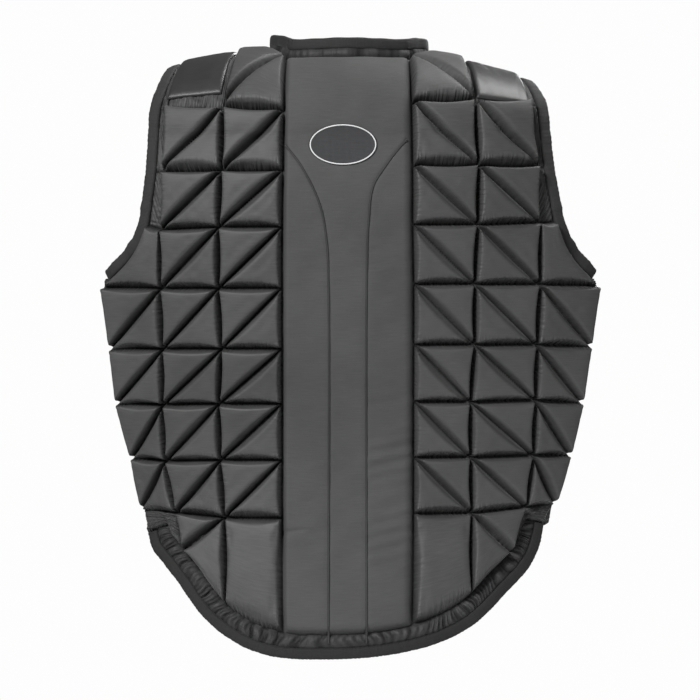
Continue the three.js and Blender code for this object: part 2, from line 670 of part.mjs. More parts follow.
// Front closure: one plain closed zip between the halves.
const zipAt = (u, v) => {
  const x = lerp(-1, 1, u);
  const z = lerp(FRONT_ROWS[FRONT_ROWS.length - 1] * DROP - BINDING_WIDTH, NECK_FRONT * DROP - ZIP.top, v);
  const edge = frontPoint(FRONT_INNER, z, 1);
  return vec(x * (edge.x - GAP / 2), edge.y, z);
};
shell(
  "front_zip",
  (u, v) => zipAt(u, v).add(vec(0, ZIP.rise + ZIP.teeth * rise(0.3 - Math.abs(u - 0.5)), 0)),
  (u, v) => zipAt(u, v).add(vec(0, -ZIP.back, 0)),
  [0, 0.22, 0.36, 0.5, 0.64, 0.78, 1],
  steps(0, 1, 14),
  [0, 1],
  steps(0, 1, 14),
);

// Shoulder straps, over the ridge from the front.
for (const [name, side] of [["left", -1], ["right", 1]]) {
  const [top, low] = side < 0 ? BACK_LEFT : BACK_RIGHT;
  const strapAt = (u, v) => {
    const a = lerp(STRAP.back, STRAP.front, v);
    const away = clamp(-a / STRAP.seam, 0, 1);
    const innerX = lerp(top.inner[0], low.inner[0], away) * HALF_WIDTH + side * STRAP.inset;
    const outerX = lerp(top.edge[0], low.edge[0], away) * HALF_WIDTH - side * STRAP.inset;
    const x = lerp(innerX, outerX, u);
    const z = SHOULDER.start + (ridge(x) - SHOULDER.start) * Math.cos(THREE.MathUtils.degToRad(a));
    if (a < 0) return backPoint(x, z);
    return frontPoint(sectionAt(x, SHOULDER.start), z, side);
  };
  const us = [0, 0.04, 0.35, 0.65, 0.96, 1];
  const edge = (u, v) => 0.35 + 0.65 * rise(Math.min(u, 1 - u, v * 1.6, (1 - v) * 1.6) * 7);
  shell(
    "shoulder_strap_" + name,
    (u, v) => lifted(strapAt, u, v, STRAP.lift + STRAP.thick * edge(u, v), fromAxis),
    (u, v) => lifted(strapAt, u, v, STRAP.lift, fromAxis),
    us,
    [0, 0.03, ...steps(0.1, 0.9, 12), 0.97, 1],
    [0, 0.35, 0.65, 1],
    [0, ...steps(0.1, 0.9, 12), 1],
  );
}

// Collar and its tape.
const neckEdge = (side) => [
  ...[0, 0.5, 0.8, 1.1].map((u) => frontSheet(side)(u, 0)),
  ...[0.95, 0.6, 0.25, 0].map((part) => backSheet(side)(part * NECK_COLUMN, 0)),
];
const foot = [...neckEdge(-1), spineAt(0.5, 0), ...neckEdge(1).reverse()].map((edge) => {
  const inward = vec(-edge.x, -edge.y, 0).normalize();
  const facing = Math.abs(inward.y);
  const inset = COLLAR_THICK / 2 + FOLD_DEPTH + 2 * GAP + LINING * facing;
  return edge.clone().addScaledVector(inward, inset).setZ(edge.z - COLLAR_SINK * (1 - facing));
});
const collarCurve = new THREE.CatmullRomCurve3(foot, false, "centripetal");
const collarFrame = (u) => {
  const t = collarCurve.getUtoTmapping(clamp(u, 0, 1));
  const p = collarCurve.getPoint(t);
  const along = collarCurve.getTangent(t);
  const out = vec(p.x, p.y - COLLAR_CENTRE, 0).normalize();
  const up = vec(-out.x * COLLAR_LEAN, -out.y * COLLAR_LEAN, 1);
  up.addScaledVector(along, -up.dot(along)).normalize();
  return { p, up, out: along.clone().cross(up).normalize() };
};
const collarAt = (u, v, offset) => {
  const { p, up, out } = collarFrame(u);
  const sign = out.dot(vec(p.x, p.y - COLLAR_CENTRE, 0)) < 0 ? -1 : 1;
  const fold = FOLD_DEPTH * Math.sin(u * 2 * Math.PI * COLLAR_FOLDS) * Math.sin(Math.PI * clamp(v, 0.15, 0.85));
  return p.addScaledVector(up, v * COLLAR_HEIGHT).addScaledVector(out, sign * (offset + fold));
};
shell(
  "neck_collar",
  (u, v) => collarAt(u, v, COLLAR_THICK / 2),
  (u, v) => collarAt(u, v, -COLLAR_THICK / 2),
  steps(0, 1, 80),
  [0, 0.5, 1],
);
const bandCurve = steps(0, 1, 36).map((u) => {
  const { p, up, out } = collarFrame(u);
  const lift = COLLAR_HEIGHT + GAP + NECK_BAND.height / 2;
  return { p: p.addScaledVector(up, lift), n: out };
});
sweep(
  "neck_binding",
  bandCurve.map((m) => m.p),
  bandCurve.map((m) => m.n),
  tapeProfile(NECK_BAND.height, NECK_BAND.thick),
  false,
);

// Oval patch and piping, on the spine panel.
const patchAt = (r, a, height) => {
  const x = PATCH.x * HALF_WIDTH + (PATCH.width / 2) * r * Math.cos(a);
  const z = PATCH.z * DROP + (PATCH.height / 2) * r * Math.sin(a);
  return lifted((u, v) => backPoint(u, v), x, z, SPINE.rise + height, fromAxis);
};
{
  const points = [patchAt(0, 0, PATCH.gap), patchAt(0, 0, PATCH.gap + PATCH.thick)];
  const index = [];
  const rings = [[0.5, 0], [1, 0], [1, 0.6], [0.94, 1], [0.5, 1]];
  const round = 20;
  rings.forEach(([r, h]) => {
    for (let k = 0; k < round; k++) points.push(patchAt(r, (k / round) * 2 * Math.PI, PATCH.gap + h * PATCH.thick));
  });
  for (let k = 0; k < round; k++) {
    const l = (k + 1) % round;
    index.push(0, 2 + k, 2 + l);
    for (let i = 0; i < rings.length - 1; i++) {
      const [a, b] = [2 + i * round, 2 + (i + 1) * round];
      index.push(a + k, b + k, b + l, a + k, b + l, a + l);
    }
    const top = 2 + (rings.length - 1) * round;
    index.push(top + k, 1, top + l);
  }
  solid("oval_patch", points, index);
}
for (const [name, marks] of Object.entries(PIPES)) {
  const route = marks.map(({ x, z }) => vec(x * HALF_WIDTH, 0, z * DROP));
  const curve = new THREE.CatmullRomCurve3(route, false, "centripetal");
  const places = steps(0, 1, 22).map((u) => curve.getPointAt(u));
  const at = (u, v) => backPoint(u, v);
  const height = SPINE.rise + PIPING + PIPING_GAP;
  const path = places.map((p) => lifted(at, p.x, p.z, height, fromAxis));
  const normals = places.map((p, i) => lifted(at, p.x, p.z, height + 1, fromAxis).sub(path[i]));
  const circle = Array.from({ length: 6 }, (_, k) => [
    PIPING * Math.cos((k / 6) * 2 * Math.PI),
    PIPING * Math.sin((k / 6) * 2 * Math.PI),
  ]);
  sweep("spine_piping_" + name, path, normals, circle, false);
}

export default group;
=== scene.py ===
"""Equestrian body protector, held up as worn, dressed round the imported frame.

Metres, +Z up. The back faces -Y and the origin lies midway between the shoulders.
Every form is a sheet: a function of two parameters that gives a point of the vest at the
level of its seams. Foam, cloth and tapes are lifted from that level along its normal.
"""

from __future__ import annotations

import logging
import math
from dataclasses import dataclass
from enum import Enum
from typing import Callable

import bpy
import numpy as np
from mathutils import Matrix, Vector

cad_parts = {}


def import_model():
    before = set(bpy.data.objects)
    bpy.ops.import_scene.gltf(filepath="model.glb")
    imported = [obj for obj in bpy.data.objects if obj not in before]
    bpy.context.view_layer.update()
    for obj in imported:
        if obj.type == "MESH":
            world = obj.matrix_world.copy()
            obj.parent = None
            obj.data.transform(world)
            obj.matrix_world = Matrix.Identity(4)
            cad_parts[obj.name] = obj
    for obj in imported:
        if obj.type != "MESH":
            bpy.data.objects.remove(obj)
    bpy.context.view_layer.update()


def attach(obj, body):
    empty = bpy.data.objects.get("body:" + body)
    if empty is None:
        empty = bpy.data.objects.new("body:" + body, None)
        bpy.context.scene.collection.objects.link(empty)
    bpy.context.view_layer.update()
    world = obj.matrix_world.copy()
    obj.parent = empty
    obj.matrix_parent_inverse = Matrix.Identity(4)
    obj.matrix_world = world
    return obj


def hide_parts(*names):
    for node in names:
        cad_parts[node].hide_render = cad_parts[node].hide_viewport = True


LOG = logging.getLogger("body_protector")
Array = np.ndarray
Sheet = Callable[[Array, Array], Array]

MM = 0.001
LINING = 4 * MM
FOAM = 13 * MM
FLAT = 1.4 * MM
GAP = 0.6 * MM
BINDING_WIDTH = 10 * MM
BINDING_THICK = 7.5 * MM
HEM_INSET = 22.6 * MM
SEED = 7
TURN = 2 * math.pi
CELL = 54 * MM
# steps of a sheet in metres, for its normals, and of a curve, for its length
LEVEL_STEP = 0.5 * MM
DENSE = 1500
# a point inside the vest and the weights of x, y and z that tell outward from inward
AXIS_POINT = (0, -6 * MM, -90 * MM)
AXIS_WEIGHTS = (0.6, 1, 0.9)
# the ring round a panel slips this far under its neighbours' seams
RING_DEPTH = 1.1 * MM
RING_LINING = 3 * MM
RING_WIDTH = 3 * MM
BACK_CELLS = ("dff", "ddf", "ddf", "ddp", "ddd", "ddd", "ddd", "ddd", "pds")
FRONT_CELLS = ("fff",) + ("ddd",) * 7
SIDE_CELLS = ("ddd",) * 4


class Side(Enum):
    """Side of the picture, with the sign of its x."""

    LEFT = -1
    RIGHT = 1

    @property
    def word(self) -> str:
        """Lower-case word used in node names."""
        return self.name.lower()


class Cell(Enum):
    """Kind of quilt cell."""

    DIAGONAL = "d"
    PLAIN = "p"
    FLAT = "f"
    SOFT = "s"


def padded_knots(values: Array) -> Array:
    """Knots with one more at each end, straight on from the last two."""
    return np.concatenate([2 * values[:1] - values[1:2], values, 2 * values[-1:] - values[-2:-1]])


def catmull_rom(a: Array, b: Array, c: Array, d: Array, u: Array) -> Array:
    """Uniform Catmull-Rom curve between b and c, at u from 0 to 1."""
    return b + 0.5 * u * (c - a + u * (2 * a - 5 * b + 4 * c - d + u * (3 * (b - c) + d - a)))


def spline(values: Array, t: Array) -> Array:
    """Smooth curve through values that stand one apart.

    Args:
        values: knots, shape (n,) or (n, m) with one column for each entry of t.
        t: places from 0 to n - 1, shape (m,).

    Returns:
        The curve at t, shape (m,).
    """
    knots = padded_knots(np.asarray(values, float))
    i = np.clip(np.floor(t).astype(int), 0, len(knots) - 4)
    column = () if knots.ndim == 1 else (np.arange(t.size),)
    return catmull_rom(*(knots[(i + k, *column)] for k in range(4)), t - i)


def spline_rows(values: Array, t: Array) -> Array:
    """The same curve along the first axis of values, shape (n, ...) to (len(t), ...)."""
    knots = padded_knots(values)
    i = np.clip(np.floor(t).astype(int), 0, len(values) - 2)
    u = (t - i).reshape((-1,) + (1,) * (values.ndim - 1))
    return catmull_rom(*(knots[i + k] for k in range(4)), u)


def curve_points(points: Array, t: Array, closed: bool = False) -> Array:
    """Centripetal Catmull-Rom through points.

    Args:
        points: knots, shape (n, 3).
        t: places from 0 to 1, equal steps from knot to knot.
        closed: whether the last knot joins the first.

    Returns:
        Points of the curve, shape (len(t), 3).
    """
    ring = np.concatenate([points[-1:], points, points[:2]]) if closed else padded_knots(points)
    spans = len(ring) - 3
    place = np.clip(t, 0, 1) * spans
    i = np.clip(np.floor(place).astype(int), 0, spans - 1)
    w = (place - i)[:, None]
    p0, p1, p2, p3 = (ring[i + k] for k in range(4))
    pairs = ((p0, p1), (p1, p2), (p2, p3))
    g0, g1, g2 = (np.maximum(np.linalg.norm(q - p, axis=1) ** 0.5, 1e-6)[:, None] for p, q in pairs)
    m1 = ((p1 - p0) / g0 - (p2 - p0) / (g0 + g1) + (p2 - p1) / g1) * g1
    m2 = ((p2 - p1) / g1 - (p3 - p1) / (g1 + g2) + (p3 - p2) / g2) * g1
    return p1 + w * (m1 + w * (-3 * p1 + 3 * p2 - 2 * m1 - m2 + w * (2 * p1 - 2 * p2 + m1 + m2)))


def run_length(points: Array) -> Array:
    """Length of the route through points, from the first to each of them."""
    return np.concatenate([[0], np.cumsum(np.linalg.norm(np.diff(points, axis=0), axis=1))])


def even_places(points: Array, count: int, closed: bool = False) -> Array:
    """Places t at which the curve through points has `count` equal steps of length."""
    dense = np.linspace(0, 1, DENSE)
    length = run_length(curve_points(points, dense, closed))
    return np.interp(np.linspace(0, length[-1], count, endpoint=not closed), length, dense)


def unit(vectors: Array) -> Array:
    """Vectors scaled to length one."""
    return vectors / np.maximum(np.linalg.norm(vectors, axis=-1, keepdims=True), 1e-12)


def rise(distance: Array, reach: float) -> Array:
    """Quarter-round from 0 at a seam to 1 at `reach` from it: sqrt(1 - (1 - d / reach)^2)."""
    return np.sqrt(1 - (1 - np.clip(distance / reach, 0, 1)) ** 2)


def ripple(x: Array, seed: int, waves: int = 5, low: float = 0.6, high: float = 2.2) -> Array:
    """Seeded sum of sines of x with values about -1 to 1, for folds that aren't regular."""
    rng = np.random.default_rng(SEED + seed)
    total = np.zeros_like(x)
    for frequency, phase, size in zip(
        rng.uniform(low, high, waves), rng.uniform(0, 2 * math.pi, waves), rng.uniform(0.5, 1, waves)
    ):
        total += size * np.sin(frequency * x * 2 * math.pi + phase)
    return total / (0.5 * waves)


def halve(is_short: Callable[[Array], Array], low: Array, high: Array, steps: int) -> Array:
    """Finds by halving where is_short turns from true to false.

    Args:
        is_short: tells whether places lie before the wanted ones.
        low: places before them.
        high: places beyond them.
        steps: number of halvings.

    Returns:
        The wanted places, in the shape of low.
    """
    for _ in range(steps):
        middle = (low + high) / 2
        short = is_short(middle)
        low, high = np.where(short, middle, low), np.where(short, high, middle)
    return low


@dataclass(frozen=True)
class VestForm:
    """Form of the vest at the level of its seams, from four sizes and tables of shares."""

    half_width: float = 0.223
    drop: float = 0.534
    back_depth: float = 0.126
    front_depth: float = 0.119
    back_power: float = 2.3
    side_inset: float = 17 * MM
    lean_start: float = -0.116
    ridge_y: float = -0.048
    front_inner: float = 0.16
    neck_side: float = 0.341
    neck_front: float = -0.112
    neck_column: float = 0.45
    scallop: float = 1.6 * MM
    arm_hollow: float = 6 * MM
    arm_row: int = 3
    corner: float = 0.5
    edge_tuck: float = 13 * MM
    edge_behind: float = 5 * MM
    neck_power: float = 1.4
    front_neck_power: float = 2.6
    waist_row: int = 4
    tail_step: float = 0.004
    spine_top: float = 0.0094
    spine_foot: float = -0.951

    ridge_table: tuple = (
        (-0.74, -0.002), (-0.67, 0.0065), (-0.45, 0.021), (-0.27, 0.0262), (0, 0.0487),
        (0.27, 0.022), (0.45, 0.0075), (0.67, -0.0155), (0.74, -0.025),
    )
    # height, left, right, back, bend, front; the last row only turns the curve upright
    hull_table: tuple = (
        (-1.011, 0.879, 0.852, 0.98, 0.35, 0.87), (-0.861, 0.852, 0.825, 0.9, 0.35, 0.86),
        (-0.757, 0.834, 0.816, 0.84, 0.35, 0.86), (-0.667, 0.865, 0.874, 0.83, 0.36, 0.87),
        (-0.571, 0.933, 0.928, 0.87, 0.37, 0.92), (-0.479, 0.96, 0.96, 0.94, 0.39, 0.97),
        (-0.376, 0.996, 0.996, 0.98, 0.41, 1), (-0.262, 1, 1, 1, 0.42, 0.96),
        (-0.187, 1, 1, 0.98, 0.42, 0.87), (-0.116, 1, 1, 0.91, 0.4, 0.77),
        (-0.045, 1, 1, 0.98, 0.42, 0.87),
    )
    section_x: tuple = (0, 0.29, 0.56, 0.79, 0.94, 1)
    section_y: tuple = (1, 0.985, 0.9, 0.7, 0.38, -0.04)
    # seams of the back: x and z at the spine, the two seams down and the outer edge
    left_seams: tuple = (
        ((-0.258, 0.01), (-0.444, 0.009), (-0.662, -0.004), (-0.682, -0.006)),
        ((-0.262, -0.082), (-0.504, -0.078), (-0.739, -0.075), (-0.762, -0.075)),
        ((-0.266, -0.1825), (-0.509, -0.1825), (-0.751, -0.1825), (-0.779, -0.1825)),
        ((-0.27, -0.276), (-0.52, -0.276), (-0.755, -0.28), (-0.807, -0.273)),
        ((-0.27, -0.378), (-0.52, -0.378), (-0.751, -0.378), (-0.993, -0.376)),
        ((-0.27, -0.479), (-0.509, -0.479), (-0.743, -0.479), (-0.957, -0.479)),
        ((-0.27, -0.571), (-0.52, -0.571), (-0.743, -0.573), (-0.932, -0.571)),
        ((-0.27, -0.667), (-0.513, -0.667), (-0.733, -0.669), (-0.868, -0.664)),
        ((-0.27, -0.765), (-0.496, -0.765), (-0.69, -0.758), (-0.827, -0.752)),
    )
    right_seams: tuple = (
        ((0.238, 0.01), (0.452, -0.002), (0.668, -0.022), (0.686, -0.024)),
        ((0.246, -0.069), (0.496, -0.069), (0.726, -0.069), (0.751, -0.069)),
        ((0.25, -0.1745), (0.509, -0.1745), (0.755, -0.1745), (0.779, -0.1745)),
        ((0.25, -0.272), (0.504, -0.272), (0.755, -0.268), (0.819, -0.267)),
        ((0.254, -0.371), (0.492, -0.371), (0.751, -0.371), (0.997, -0.374)),
        ((0.254, -0.472), (0.492, -0.472), (0.739, -0.472), (0.961, -0.475)),
        ((0.254, -0.567), (0.476, -0.568), (0.735, -0.565), (0.928, -0.57)),
        ((0.254, -0.662), (0.476, -0.662), (0.726, -0.659), (0.876, -0.659)),
        ((0.254, -0.757), (0.48, -0.757), (0.698, -0.748), (0.815, -0.742)),
    )
    left_foot: tuple = (-0.267, -0.492, -0.664)
    right_foot: tuple = (0.247, 0.48, 0.641)
    tail_table: tuple = (
        (-0.819, -0.788), (-0.799, -0.817), (-0.751, -0.843), (-0.69, -0.875), (-0.622, -0.915),
        (-0.549, -0.947), (-0.432, -0.979), (-0.303, -0.996), (-0.09, -1), (0.135, -0.994),
        (0.343, -0.975), (0.476, -0.949), (0.549, -0.925), (0.63, -0.89), (0.713, -0.854),
        (0.753, -0.826), (0.774, -0.799), (0.785, -0.773),
    )
    front_rows: tuple = (0, -0.139, -0.21, -0.288, -0.376, -0.478, -0.569, -0.663, -0.785)
    front_edge: tuple = (2.8, 2.72, 2.66, 2.72, 3, 3, 3, 3, 3)
    side_top: tuple = (-0.363, -0.384, -0.38, -0.356)

    @property
    def start(self) -> float:
        """Height above which the shoulders lean over."""
        return self.lean_start * self.drop

    @property
    def top_y(self) -> float:
        """Depth of the shoulder ridge."""
        return self.ridge_y * self.back_depth

    @staticmethod
    def lookup(keys: Array, columns: Array, value: Array) -> list[Array]:
        """Columns of a table, smoothly interpolated at value; keys rise."""
        i = np.searchsorted(keys[1:-1], value, side="left")
        t = i + np.clip((value - keys[i]) / (keys[i + 1] - keys[i]), 0, 1)
        return [spline(column, t) for column in columns]

    def hull(self, z: Array) -> list[Array]:
        """Left and right half width, back depth, bend and front depth at height z."""
        table = np.array(self.hull_table).T
        sizes = (self.half_width, self.half_width, self.back_depth, self.back_depth, self.front_depth)
        return self.lookup(table[0] * self.drop, [c * s for c, s in zip(table[1:], sizes)], z)

    def ridge(self, x: Array) -> Array:
        """Height of the shoulder ridge at x."""
        table = np.array(self.ridge_table).T
        return self.lookup(table[0] * self.half_width, [table[1] * self.drop], x)[0]

    def lean(self, x: Array, z: Array) -> Array:
        """1 below the start of the lean, then sqrt(1 - e^2) up to 0 on the ridge."""
        e = np.clip((z - self.start) / (self.ridge(x) - self.start), 0, 1)
        return np.where(z <= self.start, 1.0, np.sqrt(1 - e * e))

    def lean_angle(self, z: Array, reach: Array) -> Array:
        """Angle up the lean at height z, negative below it."""
        part = (z - self.start) / reach
        return np.where(part < 0, part, np.arcsin(np.clip(part, 0, 1)))

    def lean_height(self, angle: Array, reach: Array) -> Array:
        """Height at an angle up the lean."""
        return self.start + reach * np.where(angle < 0, angle, np.sin(angle))

    def back_point(self, x: Array, z: Array) -> Array:
        """Back at x, z: y = -depth + bend * (|x| / half width)^power, leaning to the ridge."""
        left, right, back, bend, _ = self.hull(np.minimum(z, self.start))
        half = np.where(x < 0, left, right)
        flat = -back + bend * (np.abs(x) / half) ** self.back_power
        return np.stack([x, self.top_y + (flat - self.top_y) * self.lean(x, z), z], axis=-1)

    def front_point(self, q: Array, z: Array, side: Side) -> Array:
        """Front and flank: q counts the points of the half section from the middle."""
        low = np.minimum(z, self.start)
        left, right, _, _, front = self.hull(low)
        edge = left if side is Side.LEFT else right
        tuck = edge - self.edge_tuck
        behind = self.back_point(side.value * tuck, low)[:, 1] + LINING + self.edge_behind
        xs = np.concatenate([np.outer(self.section_x, edge - self.side_inset), tuck[None]])
        ys = np.concatenate([np.outer(self.section_y, front), behind[None]])
        x = side.value * spline(xs, q)
        y = spline(ys, q)
        return np.stack([x, self.top_y + (y - self.top_y) * self.lean(x, z), z], axis=-1)

    def section_at(self, x: Array, side: Side) -> Array:
        """Place on the section whose x has the given size."""
        level = np.full_like(x, self.start)

        def is_short(place: Array) -> Array:
            return np.abs(self.front_point(place, level, side)[:, 0]) < np.abs(x)

        return halve(is_short, np.zeros_like(x), np.full_like(x, 4.0), 26)

    def tail_point(self, t: Array, inset: Array | float) -> tuple[Array, Array]:
        """x and z of the tail's outline moved `inset` inwards; t runs from left to right."""
        knots = np.insert(np.array(self.tail_table) * (self.half_width, self.drop), 1, 0, axis=1)
        p = curve_points(knots, t)
        step = self.tail_step
        ahead, behind = (curve_points(knots, np.clip(t + d, 0, 1)) for d in (step, -step))
        d = unit(ahead - behind)
        return p[:, 0] - d[:, 2] * inset, p[:, 2] + d[:, 0] * inset

    def tail_at(self, x: Array, inset: float) -> Array:
        """Place on the tail whose inset point has the given x."""

        def is_short(place: Array) -> Array:
            return self.tail_point(place, inset)[0] < x

        return halve(is_short, np.zeros_like(x), np.ones_like(x), 34)

    def seams(self, side: Side) -> Array:
        """x and z of the seams of one half of the back, shape (rows, 4, 2)."""
        shares = self.left_seams if side is Side.LEFT else self.right_seams
        return np.array(shares) * (self.half_width, self.drop)

    def feet(self, side: Side) -> Array:
        """x at which the seams down one half of the back meet the hem strip."""
        return np.array(self.left_foot if side is Side.LEFT else self.right_foot) * self.half_width

    def back_sheet(self, side: Side) -> Sheet:
        """Half of the back: u counts columns from the spine, v counts rows down."""
        seams = self.seams(side)
        ends = np.append(self.tail_at(self.feet(side), HEM_INSET), float(side is Side.RIGHT))
        last = len(seams) - 1

        def at(u: Array, v: Array) -> Array:
            j = np.clip(np.floor(v).astype(int), 0, last)
            i = np.clip(np.floor(u).astype(int), 0, 2)
            w, s = v - j, u - i
            top, low = (
                seams[row, i] * (1 - s)[:, None] + seams[row, i + 1] * s[:, None]
                for row in (j, np.minimum(j + 1, last))
            )
            reach = np.where(i < 2, s, np.minimum(s / self.corner, 1))
            over = np.where(i < 2, 0, np.clip((s - self.corner) / (1 - self.corner), 0, 1))
            place = ends[i] * (1 - reach) + ends[i + 1] * reach
            hem = np.stack(self.tail_point(place, HEM_INSET * (1 - over)), axis=-1)
            low = np.where((j == last)[:, None], hem, low)
            x = top[:, 0] * (1 - w) + low[:, 0] * w
            swell = np.where((j >= self.waist_row) & (j < last), np.sin(math.pi * np.clip(w, 0, 1)), 0)
            hollow = np.where(j == self.arm_row, self.arm_hollow * np.sin(math.pi * w), 0)
            x = x + side.value * (self.scallop * swell - hollow) * np.clip(u - 2, 0, 1)
            z = top[:, 1] * (1 - w) + low[:, 1] * w
            reach = self.ridge(x) - self.start
            neck = np.clip(u / self.neck_column, 0, 1) ** self.neck_power
            top_angle = self.lean_angle(top[:, 1], reach) * (1 - neck) + math.pi / 2 * neck
            angle = top_angle * (1 - w) + self.lean_angle(low[:, 1], reach) * w
            z = np.where(j == 0, self.lean_height(angle, reach), z)
            return self.back_point(x, z)

        return at

    def front_sheet(self, side: Side) -> Sheet:
        """Half of the front, u from the zip to the arm hole or side seam."""
        rows = np.array(self.front_rows) * self.drop
        edges = np.array(self.front_edge)
        neck_q = self.section_at(np.array([side.value * self.neck_side * self.half_width]), side)[0]
        shoulder = 3 * (neck_q - self.front_inner) / (edges[0] - self.front_inner)

        def at(u: Array, v: Array) -> Array:
            j = np.clip(np.floor(v).astype(int), 0, len(rows) - 2)
            w = v - j
            edge = edges[j] * (1 - w) + edges[j + 1] * w
            q = self.front_inner + (edge - self.front_inner) * u / 3
            x = self.front_point(q, np.full_like(q, self.start), side)[:, 0]
            reach = self.ridge(x) - self.start
            neck = np.clip(u / shoulder, 0, 1) ** self.front_neck_power
            top = self.neck_front * self.drop * (1 - neck) + self.ridge(x) * neck
            angle = self.lean_angle(top, reach) * (1 - w) + self.lean_angle(rows[1], reach) * w
            z = np.where(j == 0, self.lean_height(angle, reach), rows[j] * (1 - w) + rows[j + 1] * w)
            return self.front_point(q, z, side)

        return at

    def flank_sheet(self, side: Side) -> Sheet:
        """Side panel, u from the front seam to the edge of the back, v down."""
        rows = np.array(self.front_rows[5:])

        def at(u: Array, v: Array) -> Array:
            top = spline(np.array(self.side_top), u)
            levels = np.concatenate([top[None], np.repeat(rows[:, None], u.size, axis=1)])
            j = np.clip(np.floor(v).astype(int), 0, len(levels) - 2)
            w = v - j
            n = np.arange(u.size)
            z = (levels[j, n] * (1 - w) + levels[j + 1, n] * w) * self.drop
            return self.front_point(3 + u, z, side)

        return at

    def spine_edge(self, side: Side, z: Array) -> Array:
        """x of the spine panel's edge at height z."""
        foot = [[self.feet(side)[0], self.spine_foot * self.drop]]
        rows = np.concatenate([self.seams(side)[:, 0], foot])[::-1]
        return self.lookup(rows[:, 1], [rows[:, 0]], z)[0]

    def spine_sheet(self) -> Sheet:
        """Spine panel, u from left to right, v from the collar down to the hem strip."""
        top = self.spine_top * self.drop

        def at(u: Array, v: Array) -> Array:
            guess = (self.spine_top * (1 - v) + self.spine_foot * v) * self.drop
            left = self.spine_edge(Side.LEFT, guess) + GAP
            right = self.spine_edge(Side.RIGHT, guess) - GAP
            x = left * (1 - u) + right * u
            foot = self.tail_point(self.tail_at(x, HEM_INSET), HEM_INSET)[1] + GAP
            return self.back_point(x, top * (1 - v) + foot * v)

        return at


def normals_of(at: Sheet, u: Array, v: Array, form: VestForm, step: float = 0.004) -> Array:
    """Outward normals of a sheet: the cross product of its two central differences.

    Args:
        at: the sheet.
        u: first parameter.
        v: second parameter.
        form: the vest, whose shoulders face up.
        step: half of each difference, in the sheet's parameters.

    Returns:
        Unit normals, shape (n, 3).
    """
    du = at(u + step, v) - at(u - step, v)
    dv = at(u, v + step) - at(u, v - step)
    n = unit(np.cross(du, dv))
    points = at(u, v)
    outward = (points - AXIS_POINT) * AXIS_WEIGHTS
    outward[:, 2] *= points[:, 2] > form.start
    return np.where(np.sum(n * outward, axis=1, keepdims=True) < 0, -n, n)


def grid_of(us: Array, vs: Array) -> tuple[Array, Array]:
    """All pairs of us and vs as two flat arrays, v running fastest."""
    u, v = np.meshgrid(us, vs, indexing="ij")
    return u.ravel(), v.ravel()


def eased(t: Array, amount: float) -> Array:
    """Places drawn towards whole numbers: t - amount sin(2 pi t) / (2 pi)."""
    return t - amount * np.sin(TURN * t) / TURN


def cell_lines(count: int, per_cell: int) -> Array:
    """Grid lines of whole cells, closer beside the seams."""
    part = eased(np.arange(per_cell) / per_cell, 0.35)
    return np.concatenate([(np.arange(count)[:, None] + part[None]).ravel(), [count]])


def linked(name: str, data: bpy.types.ID) -> bpy.types.Object:
    """New object with the given data, linked to the scene."""
    obj = bpy.data.objects.new(name, data)
    bpy.context.scene.collection.objects.link(obj)
    return obj


